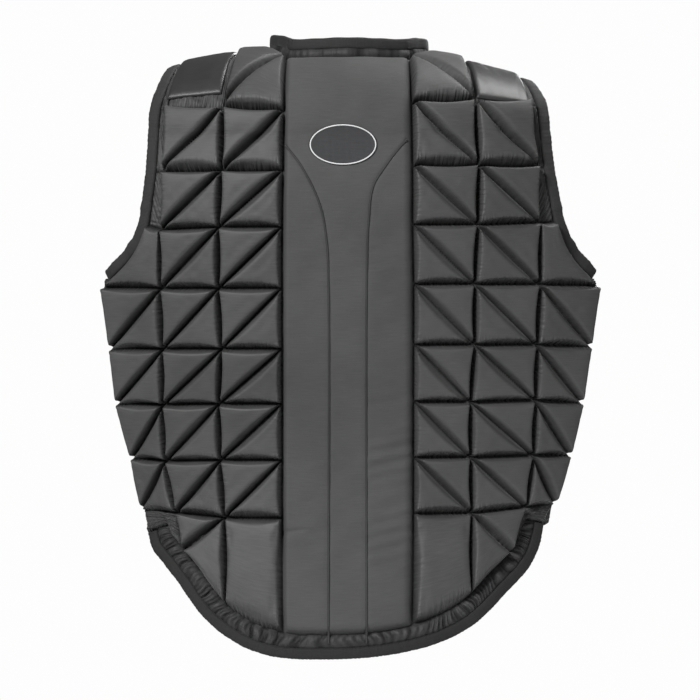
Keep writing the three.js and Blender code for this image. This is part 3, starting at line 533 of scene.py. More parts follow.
class MeshMaker:
    """Puts arrays of points and faces into closed, outward-facing Blender meshes."""

    @staticmethod
    def signed_volume(points: Array, quads: Array) -> float:
        """Six times the volume inside quads, positive if they face out."""
        a, b, c, d = (points[quads[:, k]] for k in range(4))
        return float(np.sum(a * np.cross(b, c)) + np.sum(a * np.cross(c, d)))

    @classmethod
    def build(
        cls, name: str, points: Array, quads: Array, uv: Array, marks: dict[str, Array] | None = None,
        caps: list[Array] | None = None, sharp: float = 50.0,
    ) -> bpy.types.Object:
        """Makes an object whose mesh holds the given faces.

        Args:
            name: name of the piece.
            points: vertices, shape (n, 3).
            quads: faces, shape (m, 4).
            uv: cloth coordinates in metres for each vertex, shape (n, 2).
            marks: float attributes for each vertex.
            caps: further faces with many corners, for the ends of a sweep.
            sharp: angle in degrees over which an edge is drawn sharp.

        Returns:
            The new object, linked to the scene.
        """
        fans = [np.stack([np.full(len(c) - 2, c[0]), c[1:-1], c[2:], c[2:]], axis=-1) for c in caps or []]
        whole = np.concatenate([quads, *fans]) if fans else quads
        flip = cls.signed_volume(points, whole) < 0
        faces = [list(q[::-1] if flip else q) for q in quads.tolist()]
        faces += [list(c[::-1] if flip else c) for c in (cap.tolist() for cap in caps or [])]
        mesh = bpy.data.meshes.new(name)
        mesh.from_pydata(points.tolist(), [], faces)
        mesh.polygons.foreach_set("use_smooth", np.ones(len(faces), bool))
        corners = np.empty(len(mesh.loops), np.int32)
        mesh.loops.foreach_get("vertex_index", corners)
        layer = mesh.uv_layers.new(name="cloth")
        layer.data.foreach_set("uv", uv[corners].astype(np.float32).ravel())
        for key, values in (marks or {}).items():
            attribute = mesh.attributes.new(key, "FLOAT", "POINT")
            attribute.data.foreach_set("value", values.astype(np.float32))
        mesh.set_sharp_from_angle(angle=math.radians(sharp))
        mesh.update()
        return linked(name, mesh)

    @classmethod
    def shell(
        cls, name: str, outer: Array, inner: Array, uv: Array, marks: dict[str, Array] | None = None,
        sharp: float = 50.0,
    ) -> bpy.types.Object:
        """Closed shell of two grids of the same size, joined round their border.

        Args:
            name: name of the piece.
            outer: outer grid, shape (a, b, 3).
            inner: inner grid, shape (a, b, 3).
            uv: cloth coordinates of the grid, shape (a, b, 2).
            marks: float attributes of the outer grid, shape (a, b); inside, from_seam is 1, the rest 0.
            sharp: angle in degrees over which an edge is drawn sharp.

        Returns:
            The new object.
        """
        a, b = outer.shape[:2]
        o = np.arange(a * b).reshape(a, b)
        n = o + a * b
        ring_o, ring_n = cls.ring(o), cls.ring(n)
        wall = np.stack([np.roll(ring_o, -1), ring_o, ring_n, np.roll(ring_n, -1)], axis=-1)
        quads = np.concatenate([cls.quads(o), cls.quads(n)[:, ::-1], wall])
        points = np.concatenate([outer.reshape(-1, 3), inner.reshape(-1, 3)])
        both = np.concatenate([uv.reshape(-1, 2)] * 2)
        full = {}
        for key, mark in (marks or {}).items():
            full[key] = np.append(mark, np.full(a * b, float(key == "from_seam")))
        return cls.build(name, points, quads, both, full, sharp=sharp)

    @staticmethod
    def grown(grid: Array, reach: tuple[Array | float, ...]) -> Array:
        """Adds a line of points beyond each edge of a grid, straight on from its last steps."""
        for axis, widths in ((0, reach[:2]), (1, reach[2:])):
            rows = np.moveaxis(grid, axis, 0)
            ends = [
                rows[edge] + unit(rows[edge] - rows[near]) * np.asarray(width, float)[..., None]
                for edge, near, width in zip((0, -1), (2, -3), widths)
            ]
            grid = np.moveaxis(np.concatenate([ends[:1], rows, ends[1:]]), 0, axis)
        return grid

    @staticmethod
    def widened(grid: Array) -> Array:
        """Repeats the edge of a grid once all round it."""
        return np.pad(grid, ((1, 1), (1, 1)) + ((0, 0),) * (grid.ndim - 2), mode="edge")

    @classmethod
    def tucked_shell(
        cls, name: str, base: Array, normal: Array, outer: Array, inner: Array, uv: Array,
        marks: dict[str, Array], reach: tuple[Array | float, ...], sharp: float,
    ) -> bpy.types.Object:
        """Closed shell with a ring round it that slips under the neighbouring pieces.

        Args:
            name: name of the piece.
            base: seam level of the grid, shape (a, b, 3).
            normal: outward normals, same shape.
            outer: outer surface, same shape.
            inner: inner surface, same shape.
            uv: cloth coordinates, shape (a, b, 2).
            marks: float attributes, shape (a, b).
            reach: width of the ring at the first and last row and the first and last column.
            sharp: angle in degrees over which an edge is drawn sharp.

        Returns:
            The new object.
        """
        level, up = cls.grown(base, reach), cls.widened(normal)
        ring = np.pad(np.zeros(base.shape[:2], bool), 1, constant_values=True)[..., None]
        outer = np.where(ring, level - up * RING_DEPTH, cls.widened(outer))
        inner = np.where(ring, level - up * RING_LINING, cls.widened(inner))
        marks = {key: cls.widened(mark) for key, mark in marks.items()}
        return cls.shell(name, outer, inner, cls.widened(uv), marks, sharp)

    @staticmethod
    def quads(index: Array) -> Array:
        """Squares of a grid of vertex numbers."""
        corners = [index[:-1, :-1], index[1:, :-1], index[1:, 1:], index[:-1, 1:]]
        return np.stack(corners, axis=-1).reshape(-1, 4)

    @staticmethod
    def ring(index: Array) -> Array:
        """Vertex numbers round the border of a grid."""
        return np.concatenate([index[:, 0], index[-1, 1:], index[-2::-1, -1], index[0, -2:0:-1]])

    @classmethod
    def sweep(
        cls, name: str, path: Array, normals: Array, profile: Array, closed: bool, swell: Array
    ) -> bpy.types.Object:
        """Profile carried along a path: p + across * w + normal * h at each step.

        Args:
            name: name of the piece.
            path: points, shape (n, 3).
            normals: thick direction at each point, shape (n, 3).
            profile: corners (w, h), shape (m, 2).
            closed: whether the path is a loop.
            swell: factor on the profile at each point and corner, shape (n, m) or (n, 1).

        Returns:
            The new object.
        """
        n, m = len(path), len(profile)
        if closed:
            along = unit(np.roll(path, -1, axis=0) - np.roll(path, 1, axis=0))
        else:
            along = unit(np.gradient(path, axis=0))
        up = unit(normals - along * np.sum(normals * along, axis=1, keepdims=True))
        across = np.cross(along, up)
        w, h = (profile[None, :, k, None] * swell[..., None] for k in (0, 1))
        points = path[:, None] + across[:, None] * w + up[:, None] * h
        index = np.arange(n * m).reshape(n, m)
        rows = np.concatenate([index, index[:1]]) if closed else index
        rows = np.concatenate([rows, rows[:, :1]], axis=1)
        lengths = np.broadcast_arrays(run_length(path)[:, None], run_length(profile)[None])
        caps = None if closed else [index[0][::-1], index[-1]]
        uv = np.stack(lengths, axis=-1).reshape(-1, 2)
        return cls.build(name, points.reshape(-1, 3), cls.quads(rows), uv, None, caps, 60)


def tape_profile(width: float, thick: float, corners: int = 20, power: float = 0.55) -> Array:
    """Rounded oblong: (|cos|^p, |sin|^p) with their signs, scaled to width and thickness."""
    a = (np.arange(corners) + 0.5) / corners * TURN
    circle = np.stack([np.cos(a), np.sin(a)], axis=-1)
    return np.array([width, thick]) / 2 * np.sign(circle) * np.abs(circle) ** power


class ClothSimulation:
    """Blender cloth with pressure behind a sheet that is held along its seams."""

    SETTINGS = {
        "quality": 4, "mass": 0.12, "tension_stiffness": 10, "compression_stiffness": 10,
        "shear_stiffness": 4, "bending_stiffness": 1.5, "use_pressure": True,
        "uniform_pressure_force": 1.6, "shrink_min": -0.004, "vertex_group_mass": "seams",
    }
    FRAMES = 14
    FURTHEST = 0.9 * MM

    def swell(self, name: str, grid: Array, held: Array) -> Array:
        """Inflates a grid of points and returns how far each one moved.

        Args:
            name: name for the short-lived object.
            grid: points, shape (a, b, 3), with its squares facing out.
            held: True at points on a seam, shape (a, b).

        Returns:
            Moves, shape (a, b, 3), none longer than the furthest allowed.
        """
        index = np.arange(held.size).reshape(held.shape)
        mesh = bpy.data.meshes.new(name)
        mesh.from_pydata(grid.reshape(-1, 3).tolist(), [], MeshMaker.quads(index).tolist())
        obj = linked(name, mesh)
        obj.vertex_groups.new(name="seams").add(index[held].tolist(), 1.0, "REPLACE")
        cloth = obj.modifiers.new("cloth", "CLOTH")
        for key, value in self.SETTINGS.items():
            setattr(cloth.settings, key, value)
        cloth.settings.effector_weights.gravity = 0
        cloth.collision_settings.use_collision = False
        cloth.point_cache.frame_start = 1
        cloth.point_cache.frame_end = self.FRAMES
        scene = bpy.context.scene
        for frame in range(1, self.FRAMES + 1):
            scene.frame_set(frame)
        shape = obj.evaluated_get(bpy.context.evaluated_depsgraph_get()).data
        moved = np.empty(grid.size, np.float32)
        shape.vertices.foreach_get("co", moved)
        scene.frame_set(1)
        bpy.data.objects.remove(obj)
        move = moved.reshape(grid.shape) - grid
        size = np.linalg.norm(move, axis=-1, keepdims=True)
        return move * np.minimum(1, self.FURTHEST / np.maximum(size, 1e-9))


class Nodes:
    """Small helper that adds shader nodes and links their sockets."""

    def __init__(self, tree: bpy.types.NodeTree) -> None:
        """Wraps a node tree."""
        self.tree = tree

    @classmethod
    def emptied(cls, data: bpy.types.Material | bpy.types.World) -> Nodes:
        """Turns on the nodes of a new material or world and clears them."""
        data.use_nodes = True
        data.node_tree.nodes.clear()
        return cls(data.node_tree)

    def add(self, kind: str, settings: dict | None = None, **sockets: object) -> bpy.types.Node:
        """Adds a node.

        Args:
            kind: Blender's node type.
            settings: attributes of the node.
            **sockets: values or output sockets by input name, with _ for a space, or by i
                and the input's number.

        Returns:
            The node.
        """
        node = self.tree.nodes.new(kind)
        for key, value in (settings or {}).items():
            setattr(node, key, value)
        for key, value in sockets.items():
            numbered = key[0] == "i" and key[1:].isdigit()
            socket = node.inputs[int(key[1:]) if numbered else key.replace("_", " ")]
            if isinstance(value, bpy.types.NodeSocket):
                self.tree.links.new(value, socket)
            else:
                socket.default_value = value
        return node

    def math(self, operation: str, a: object, b: object = 0.5) -> bpy.types.NodeSocket:
        """Output of a new Math node."""
        return self.add("ShaderNodeMath", {"operation": operation}, i0=a, i1=b).outputs[0]

    def mark(self, key: str) -> bpy.types.NodeSocket:
        """A float attribute of the mesh."""
        return self.add("ShaderNodeAttribute", {"attribute_name": key}).outputs["Fac"]

    def object_place(self) -> bpy.types.NodeSocket:
        """Place in the object's own metres."""
        return self.add("ShaderNodeTexCoord").outputs["Object"]

    def group(self, tree: bpy.types.NodeTree, **sockets: object) -> bpy.types.bpy_prop_collection:
        """Outputs of a new node that holds a node group."""
        return self.add("ShaderNodeGroup", {"node_tree": tree}, **sockets).outputs

    def ranged(self, value: object, span: tuple, to: tuple = (0.0, 1.0)) -> bpy.types.NodeSocket:
        """Carries a span of values to another one and clamps what lies beyond."""
        ends = {"From_Min": span[0], "From_Max": span[1], "To_Min": to[0], "To_Max": to[1]}
        return self.add("ShaderNodeMapRange", Value=value, **ends).outputs[0]

    def mixed(self, factor: object, a: object, b: object, blend: str = "MIX") -> bpy.types.NodeSocket:
        """Mixes two colours."""
        settings = {"data_type": "RGBA", "blend_type": blend}
        return self.add("ShaderNodeMix", settings, i0=factor, i6=a, i7=b).outputs[2]

    def noise(self, flat: bool, **sockets: object) -> bpy.types.NodeSocket:
        """Value of a noise texture in two or three dimensions."""
        settings = {"noise_dimensions": "2D" if flat else "3D"}
        return self.add("ShaderNodeTexNoise", settings, **sockets).outputs[0]

    def stretched(self, vector: object, scale: tuple[float, float, float]) -> bpy.types.NodeSocket:
        """Scales a place by a different factor each way."""
        return self.add("ShaderNodeMapping", Vector=vector, Scale=scale).outputs[0]

    def bump(self, strength: float, depth: float, height: object, **under: object) -> bpy.types.NodeSocket:
        """Normal of a surface raised by a height."""
        node = self.add("ShaderNodeBump", Strength=strength, Distance=depth, Height=height, **under)
        return node.outputs[0]


class Effects:
    """Node groups that more than one cloth uses."""

    def __init__(self) -> None:
        """Builds the groups once."""
        self.weave = self.make_weave()
        self.crumple = self.make_crumple()
        self.pleats = self.make_pleats()

    @staticmethod
    def make_group(
        name: str, inputs: dict[str, float], fill: Callable[[Nodes, bpy.types.bpy_prop_collection], dict]
    ) -> bpy.types.NodeTree:
        """Makes a group whose inputs are a vector and floats and whose outputs are floats.

        Args:
            name: name of the group.
            inputs: values of the float inputs.
            fill: adds the nodes and returns a socket for each output name.

        Returns:
            The group.
        """
        group = bpy.data.node_groups.new(name, "ShaderNodeTree")
        group.interface.new_socket(name="Vector", in_out="INPUT", socket_type="NodeSocketVector")
        for key, value in inputs.items():
            socket = group.interface.new_socket(name=key, in_out="INPUT", socket_type="NodeSocketFloat")
            socket.default_value = value
        nodes = Nodes(group)
        results = fill(nodes, nodes.add("NodeGroupInput").outputs)
        for key in results:
            group.interface.new_socket(name=key, in_out="OUTPUT", socket_type="NodeSocketFloat")
        nodes.add("NodeGroupOutput", **results)
        return group

    def make_weave(self) -> bpy.types.NodeTree:
        """Plain weave, sin(x) sin(y) with ribs along it, and the uneven yarns that run across."""

        def fill(nodes: Nodes, start: bpy.types.bpy_prop_collection) -> dict:
            split = nodes.add("ShaderNodeSeparateXYZ", i0=start["Vector"]).outputs
            across, along = (
                nodes.math("SINE", nodes.math("MULTIPLY", split[k], start["Threads"])) for k in (0, 1)
            )
            ribbed = nodes.math("MULTIPLY", across, start["Rib"])
            height = nodes.math("ADD", nodes.math("MULTIPLY", across, along), ribbed)
            long_way = nodes.stretched(start["Vector"], (70.0, 1300.0, 1.0))
            return {"Height": height, "Yarn": nodes.noise(True, Vector=long_way, Scale=1.0, Detail=2.0)}

        return self.make_group("cloth_weave", {"Threads": 1100.0, "Rib": 0.5}, fill)

    def make_crumple(self) -> bpy.types.NodeTree:
        """Soft creases and patches of worn cloth from three scales of noise."""

        def fill(nodes: Nodes, start: bpy.types.bpy_prop_collection) -> dict:
            vector, scale = start["Vector"], start["Scale"]
            creases = nodes.noise(False, Vector=vector, Scale=scale, Detail=3.0, Distortion=0.4)
            fine = nodes.noise(False, Vector=vector, Scale=nodes.math("MULTIPLY", scale, 7.0), Detail=2.0)
            shade = nodes.noise(False, Vector=vector, Scale=nodes.math("MULTIPLY", scale, 0.3), Detail=3.0)
            small = nodes.math("MULTIPLY", fine, start["Fine"])
            return {"Height": nodes.math("ADD", creases, small), "Shade": shade}

        return self.make_group("cloth_crumple", {"Scale": 60.0, "Fine": 0.25}, fill)

    def make_pleats(self) -> bpy.types.NodeTree:
        """Fine gathers of cloth drawn up by stitches: stretched noise along and across."""

        def fill(nodes: Nodes, start: bpy.types.bpy_prop_collection) -> dict:
            folds = []
            for mark, scale in (("Across", (390.0, 50.0, 1.0)), ("Along", (50.0, 390.0, 1.0))):
                drawn = nodes.stretched(start["Vector"], scale)
                noise = nodes.noise(True, Vector=drawn, Scale=1.0, Detail=1.5)
                folds.append(nodes.math("MULTIPLY", nodes.math("SUBTRACT", noise, 0.5), start[mark]))
            return {"Height": nodes.math("ADD", *folds)}

        return self.make_group("cloth_pleats", {"Across": 0.0, "Along": 0.0}, fill)


def grey(value: float) -> tuple[float, float, float]:
    """Neutral colour of the given brightness."""
    return value, value, value


@dataclass(frozen=True)
class ClothFinish:
    """A dark cloth: its colour, gloss, weave, creases and gathers, and on some cloths painted shade along
    seams and in fold valleys.
    """

    name: str
    dark: tuple[float, float, float]
    light: tuple[float, float, float]
    roughness: tuple[float, float]
    threads: float = 12000.0
    rib: float = 0.2
    weave_depth: float = 0.2
    crumple_depth: float = 0.2
    yarn: float = 0.12
    pleats: float = 0.0
    sheen: float = 0.08
    specular: float = 0.42
    # painted shade: whether the colour is darkened along seams and in fold valleys
    seam_shade: bool = False

    CREASE, GATHER, THREAD = 2.0 * MM, 4.0 * MM, 0.1 * MM
    PATCH_SPAN, NOISE_SPAN = (0.35, 0.65), (0.3, 0.7)
    # painted shade: at the bottom of a seam the colour keeps 2% of its brightness
    SEAM_KEEP = (0.02, 1.0)

    def colour(self, nodes: Nodes, shade: object, yarn: object) -> bpy.types.NodeSocket:
        """Colour with patches, uneven yarns and, on some cloths, painted shade that darkens seams and fold
        valleys.

        Args:
            nodes: helper of the material.
            shade: noise of the patches.
            yarn: noise of the yarns.

        Returns:
            The colour.
        """
        patch = nodes.ranged(shade, self.PATCH_SPAN)
        cloth = nodes.mixed(patch, (*self.dark, 1.0), (*self.light, 1.0))
        keep = nodes.ranged(yarn, self.NOISE_SPAN, (1 - self.yarn, 1 + self.yarn))
        # painted shade: darken the colour where from_seam is low, in seams and fold valleys
        if self.seam_shade:
            near = nodes.ranged(nodes.mark("from_seam"), (0.0, 1.0), self.SEAM_KEEP)
            keep = nodes.math("MULTIPLY", keep, near)
        tint = nodes.add("ShaderNodeCombineColor", Red=keep, Green=keep, Blue=keep)
        return nodes.mixed(1.0, cloth, tint.outputs[0], "MULTIPLY")

    def build(self, effects: Effects) -> bpy.types.Material:
        """Makes the material.

        Args:
            effects: the shared node groups.

        Returns:
            The material, named after the finish.
        """
        material = bpy.data.materials.new(self.name)
        nodes = Nodes.emptied(material)
        cloth = nodes.add("ShaderNodeUVMap", {"uv_map": "cloth"}).outputs[0]
        weave = nodes.group(effects.weave, Vector=cloth, Threads=self.threads, Rib=self.rib)
        crumple = nodes.group(effects.crumple, Vector=nodes.object_place(), Scale=60.0)
        rough = nodes.ranged(crumple["Shade"], self.NOISE_SPAN, self.roughness)
        bump = nodes.bump(self.crumple_depth, self.CREASE, crumple["Height"])
        if self.pleats:
            across, along = nodes.mark("pleat_across"), nodes.mark("pleat_along")
            gathers = nodes.group(effects.pleats, Vector=cloth, Across=across, Along=along)
            bump = nodes.bump(self.pleats, self.GATHER, gathers["Height"], Normal=bump)
        bump = nodes.bump(self.weave_depth, self.THREAD, weave["Height"], Normal=bump)
        shader = nodes.add(
            "ShaderNodeBsdfPrincipled", Base_Color=self.colour(nodes, crumple["Shade"], weave["Yarn"]),
            Roughness=rough, Normal=bump, Sheen_Weight=self.sheen, Sheen_Roughness=0.45,
            Specular_IOR_Level=self.specular,
        )
        nodes.add("ShaderNodeOutputMaterial", Surface=shader.outputs[0])
        return material


@dataclass(frozen=True)
class TrimFinish:
    """Sewing thread or the plain metal of a small trim."""

    name: str
    colour: tuple[float, float, float]
    roughness: float

    def build(self, effects: Effects) -> bpy.types.Material:
        """Makes the material, with the creases of the shared group as its grain."""
        material = bpy.data.materials.new(self.name)
        nodes = Nodes.emptied(material)
        grain = nodes.group(effects.crumple, Vector=nodes.object_place(), Scale=420.0)
        low = tuple(c * 0.75 for c in self.colour)
        colour = nodes.mixed(grain["Shade"], (*low, 1.0), (*self.colour, 1.0))
        bump = nodes.bump(0.4, 0.3 * MM, grain["Height"])
        shader = nodes.add(
            "ShaderNodeBsdfPrincipled", Base_Color=colour, Roughness=self.roughness, Normal=bump
        )
        nodes.add("ShaderNodeOutputMaterial", Surface=shader.outputs[0])
        return material


class Wardrobe:
    """All finishes of the vest, each built once."""

    RIBBED = {"threads": 4800.0, "rib": 1.0, "weave_depth": 0.7, "specular": 0.3}
    FINISHES = (
        # quilted_nylon and gathered_cloth are darkened by painted shade along their seams and fold valleys
        ClothFinish(
            "quilted_nylon", grey(0.043), grey(0.054), (0.5, 0.62), crumple_depth=0.1, pleats=1.0,
            seam_shade=True,
        ),
        ClothFinish("spine_cloth", grey(0.046), grey(0.058), (0.66, 0.78), crumple_depth=0.22, yarn=0.08),
        ClothFinish(
            "strap_cloth", grey(0.024), grey(0.029), (0.38, 0.44), crumple_depth=0.05, specular=0.5, sheen=0.0
        ),
        ClothFinish(
            "gathered_cloth", grey(0.034), grey(0.046), (0.55, 0.66), pleats=0.6, specular=0.3,
            seam_shade=True,
        ),
        ClothFinish("binding_tape", grey(0.018), grey(0.026), (0.64, 0.76), crumple_depth=0.25, **RIBBED),
        # painted shade: the tail tape is a darker copy of binding_tape, standing in for the shade on its
        # downward-facing side
        ClothFinish("hem_tape_cloth", grey(0.012), grey(0.018), (0.66, 0.78), crumple_depth=0.3, **RIBBED),
        ClothFinish("piping", grey(0.018), grey(0.026), (0.6, 0.72), threads=4200.0),
        ClothFinish(
            "patch", (0.02, 0.021, 0.022), (0.028, 0.029, 0.031), (0.55, 0.65), threads=6000.0, rib=0.9,
            weave_depth=0.7,
        ),
        ClothFinish("zip_tape", grey(0.02), grey(0.028), (0.6, 0.72), threads=4200.0, rib=0.9),
        TrimFinish("pale_thread", (0.72, 0.72, 0.73), 0.6),
        TrimFinish("zip_teeth", (0.035, 0.035, 0.036), 0.35),
    )

    def __init__(self) -> None:
        """Builds every finish."""
        effects = Effects()
        self.materials = {finish.name: finish.build(effects) for finish in self.FINISHES}

    def dress(self, piece: bpy.types.Object, finish: str, slot: str, *nodes: str) -> bpy.types.Object:
        """Gives a piece its material and body, and hides the nodes it stands for.

        Args:
            piece: the finished object.
            finish: name of a finish.
            slot: not used.
            *nodes: CAD nodes that the piece replaces.

        Returns:
            The piece.
        """
        piece.data.materials.append(self.materials[finish])
        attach(piece, "root")
        if nodes:
            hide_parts(*nodes)
        LOG.info("%s: %d faces, %s", piece.name, len(piece.data.polygons), finish)
        return piece


@dataclass
class CellPlaces:
    """Where the points of a quilt lie in their cells.

    i and j number the column and row, s and t run from 0 to 1 across and down the cell,
    slant is the distance from its diagonal in cells and uneven holds random factors.
    """

    i: Array
    j: Array
    s: Array
    t: Array
    kinds: dict[Cell, Array]
    slant: Array
    uneven: Array

    @property
    def border(self) -> Array:
        """Distance to the nearest side of the cell."""
        return np.minimum(np.minimum(self.s, 1 - self.s), np.minimum(self.t, 1 - self.t))

    @property
    def near(self) -> Array:
        """Distance to the nearest seam."""
        return np.where(self.kinds[Cell.DIAGONAL], np.minimum(self.border, self.slant), self.border)


@dataclass
class Quilt:
    """A panel of foam cells under nylon, with a lining behind.

    Widths without a unit are shares of a cell.
    """

    name: str
    sheet: Sheet
    kinds: tuple[str, ...]
    form: VestForm
    seed: int
    per_cell: int = 24
    coarse: int = 12
    slope: float = 0.1
    slant_slope: float = 0.095
    lens: float = 0.68
    knee: float = 0.1
    crown: float = 0.7 * MM
    pleat: float = 0.4 * MM
    pitch: float = 8.5
    open_from: float = 99.0
    edge_floor: float = 0.0
    top_flat: float = 0.0

    # shares of `slope` at the upper end, the lower end (of the top row) and the flanks
    HEAD, FOOT, TOP_FOOT, FLANK = 0.7, 1.3, 0.65, 0.68
    CROWN_REACH, FLAT_REACH = 0.2, 0.27
    PLAIN_LIFT, SOFT_LIFT = 0.85, 0.42
    # width of the painted shade along a seam, how ragged it is, and the stitched dip
    SEAM_WIDTH, RAGGED, STITCH_WIDTH, STITCH_DEPTH = 0.042, 0.007, 0.02, 0.6 * MM
    # reach of the pleats beside seams across (in the top row) and down
    PLEAT_REACH, TOP_PLEAT_REACH, SIDE_PLEAT_REACH, SIDE_PLEATS = 0.1, 0.06, 0.08, 0.45
    TUMBLE, BROAD = 0.7 * MM, 0.1 * MM

    @property
    def size(self) -> tuple[int, int]:
        """Numbers of columns and rows."""
        return len(self.kinds[0]), len(self.kinds)

    def trimmed(self, u: Array, v: Array) -> Array:
        """The sheet with its border drawn in by half a gap."""
        c, r = self.size
        middles = np.array([[0, c, c / 2, c / 2], [r / 2, r / 2, 0, r]])
        left, right, top, low = self.sheet(*middles)
        du = GAP / 2 / np.linalg.norm(left - right) * c
        dv = GAP / 2 / np.linalg.norm(top - low) * r
        return self.sheet(du + (c - 2 * du) * u / c, dv + (r - 2 * dv) * v / r)

    def off_diagonal(self, p: Array, i: Array, j: Array) -> Array:
        """Distance, in cells, from the straight line that joins two corners of a cell.

        Args:
            p: points of the sheet.
            i: column of each point.
            j: row of each point.

        Returns:
            Distance in the plane of the cell.
        """
        columns, rows = self.size
        number = i * rows + j
        ci, cj = grid_of(np.arange(columns, dtype=float), np.arange(rows, dtype=float))
        a, b = self.trimmed(ci, cj), self.trimmed(ci + 1, cj + 1)
        c, d = self.trimmed(ci + 1, cj), self.trimmed(ci, cj + 1)
        aside = unit(np.cross(np.cross(b - a, d - c), b - a))
        return np.abs(np.sum((p - a[number]) * aside[number], axis=1)) / CELL

    def places(self, u: Array, v: Array) -> CellPlaces:
        """Finds the cell of each point and where in it the point lies."""
        columns, rows = self.size
        i = np.clip(np.floor(u - 1e-9).astype(int), 0, columns - 1)
        j = np.clip(np.floor(v - 1e-9).astype(int), 0, rows - 1)
        code = np.array([[ord(kind) for kind in row] for row in self.kinds])[j, i]
        kinds = {kind: code == ord(kind.value) for kind in Cell}
        slant = self.off_diagonal(self.trimmed(u, v), i, j)
        rng = np.random.default_rng(SEED + self.seed)
        uneven = rng.uniform(0.85, 1.2, (columns, rows, 5))[i, j]
        return CellPlaces(i, j, np.clip(u - i, 0, 1), np.clip(v - j, 0, 1), kinds, slant, uneven)

    def ramp(self, distance: Array, along: Array, reach: Array | float) -> Array:
        """Rise of the cloth from a seam to the face of a foam block.

        It is a straight slope with a soft knee k: 1 - k ln(1 + exp((1 - 1.1 x) / k)), where
        x = distance / (reach * (1 - lens + lens * sin(pi * along)^0.8)). So the slope is widest
        in the middle of a seam and narrow where seams cross, as cloth bows between stitches.

        Args:
            distance: from the seam, in cells.
            along: place along the seam, 0 to 1.
            reach: width of the slope in the middle of the seam, in cells.

        Returns:
            0 on the seam to 1 on the face.
        """
        bow = 1 - self.lens + self.lens * np.abs(np.sin(math.pi * np.clip(along, 0, 1))) ** 0.8
        x = distance / (reach * bow)
        return 1 - self.knee * np.logaddexp(0, (1 - 1.1 * x) / self.knee)

    def foam_lift(self, u: Array, at: CellPlaces) -> Array:
        """Lift of the cloth over foam blocks and flat strips, without folds.

        Args:
            u: column coordinate.
            at: places of the points in their cells.

        Returns:
            Lift in metres.
        """
        top = at.j == 0
        foot = self.slope * np.where(top, self.TOP_FOOT, self.FOOT)
        ends = self.ramp(at.t, at.s, self.slope * self.HEAD) * self.ramp(1 - at.t, at.s, foot)
        shallow = self.edge_floor * np.clip((u - 2.5) * 2.4, 0, 1) * (at.j >= self.form.waist_row)
        flank = self.slope * self.FLANK
        sides = self.ramp(at.s, at.t, flank) * self.ramp(1 - at.s, at.t, flank)
        sides = sides * (shallow + (1 - shallow) * ends)
        slant = self.ramp(at.slant * at.uneven[..., 0], (at.s + at.t) / 2, self.slant_slope)
        cut = np.where(at.kinds[Cell.DIAGONAL], slant, 1)
        inward = np.clip(at.near / self.CROWN_REACH, 0, 1)
        crown = self.crown * inward * (2 - inward)
        body = (FOAM - self.crown) * sides * cut + crown
        lift = np.select(
            [at.kinds[kind] for kind in (Cell.DIAGONAL, Cell.PLAIN, Cell.SOFT)],
            [body * (0.94 + 0.06 * at.uneven[..., 1]), body * self.PLAIN_LIFT, body * self.SOFT_LIFT],
            FLAT * rise(at.border, self.FLAT_REACH),
        )
        return lift * np.where(top, 1 - self.top_flat * (1 - at.t) ** 1.5, 1)

    def seam_marks(self, u: Array, v: Array, at: CellPlaces) -> tuple[dict[str, Array], Array]:
        """Nearness of seams and pleats.

        Args:
            u: column coordinate.
            v: row coordinate.
            at: places of the points in their cells.

        Returns:
            Marks from_seam (0 on a seam, 1 away from it; it paints shade into the colour along seams and, at
            most 0.75, over the strip by the arm hole), pleat_across and pleat_along (1 on the slopes beside
            seams across and down); and how loose the cloth is.
        """
        reach = np.where(at.j == 0, self.TOP_PLEAT_REACH, self.PLEAT_REACH)
        across = np.exp(-((np.minimum(at.t * 3.5, 1 - at.t) / reach) ** 2))
        along = np.exp(-((np.minimum(at.s, 1 - at.s) / self.SIDE_PLEAT_REACH) ** 2))
        along = along * self.SIDE_PLEATS * at.uneven[..., 2]
        flat = at.kinds[Cell.FLAT]
        # painted shade: the flat strip beside the arm hole keeps at most 0.75 of its colour
        shade = np.where(flat & (at.i == 2), 0.75, 1)
        loose = flat * 0.9 + at.kinds[Cell.SOFT] * 0.8
        upright = (at.i < 2) * loose
        ragged = self.RAGGED * (ripple(u * 15, self.seed + 6) + ripple(v * 15, self.seed + 7))
        marks = {
            "from_seam": np.clip((at.near + ragged) / self.SEAM_WIDTH, 0, 1) * shade,
            "pleat_across": np.clip(across * (1 - flat) + upright, 0, 1),
            "pleat_along": np.clip(along * (1 - flat) + loose - upright, 0, 1),
        }
        return marks, loose

    def heights(self, u: Array, v: Array, detail: bool) -> tuple[Array, dict[str, Array]]:
        """Lift of the cloth over the seams, and the marks of the seams.

        Args:
            u: column coordinate.
            v: row coordinate.
            detail: whether folds and the stitched dip are added.

        Returns:
            Lift in metres and the marks.
        """
        at = self.places(u, v)
        lift = self.foam_lift(u, at)
        marks, loose = self.seam_marks(u, v, at)
        if detail:
            dip = self.STITCH_DEPTH * np.exp(-((at.near / self.STITCH_WIDTH) ** 2))
            lift = lift - dip + self.folds(u, v, marks, loose)
        marks["pleat_along"] = np.where(at.kinds[Cell.FLAT] & (at.i == 2), 0, marks["pleat_along"])
        return lift, marks

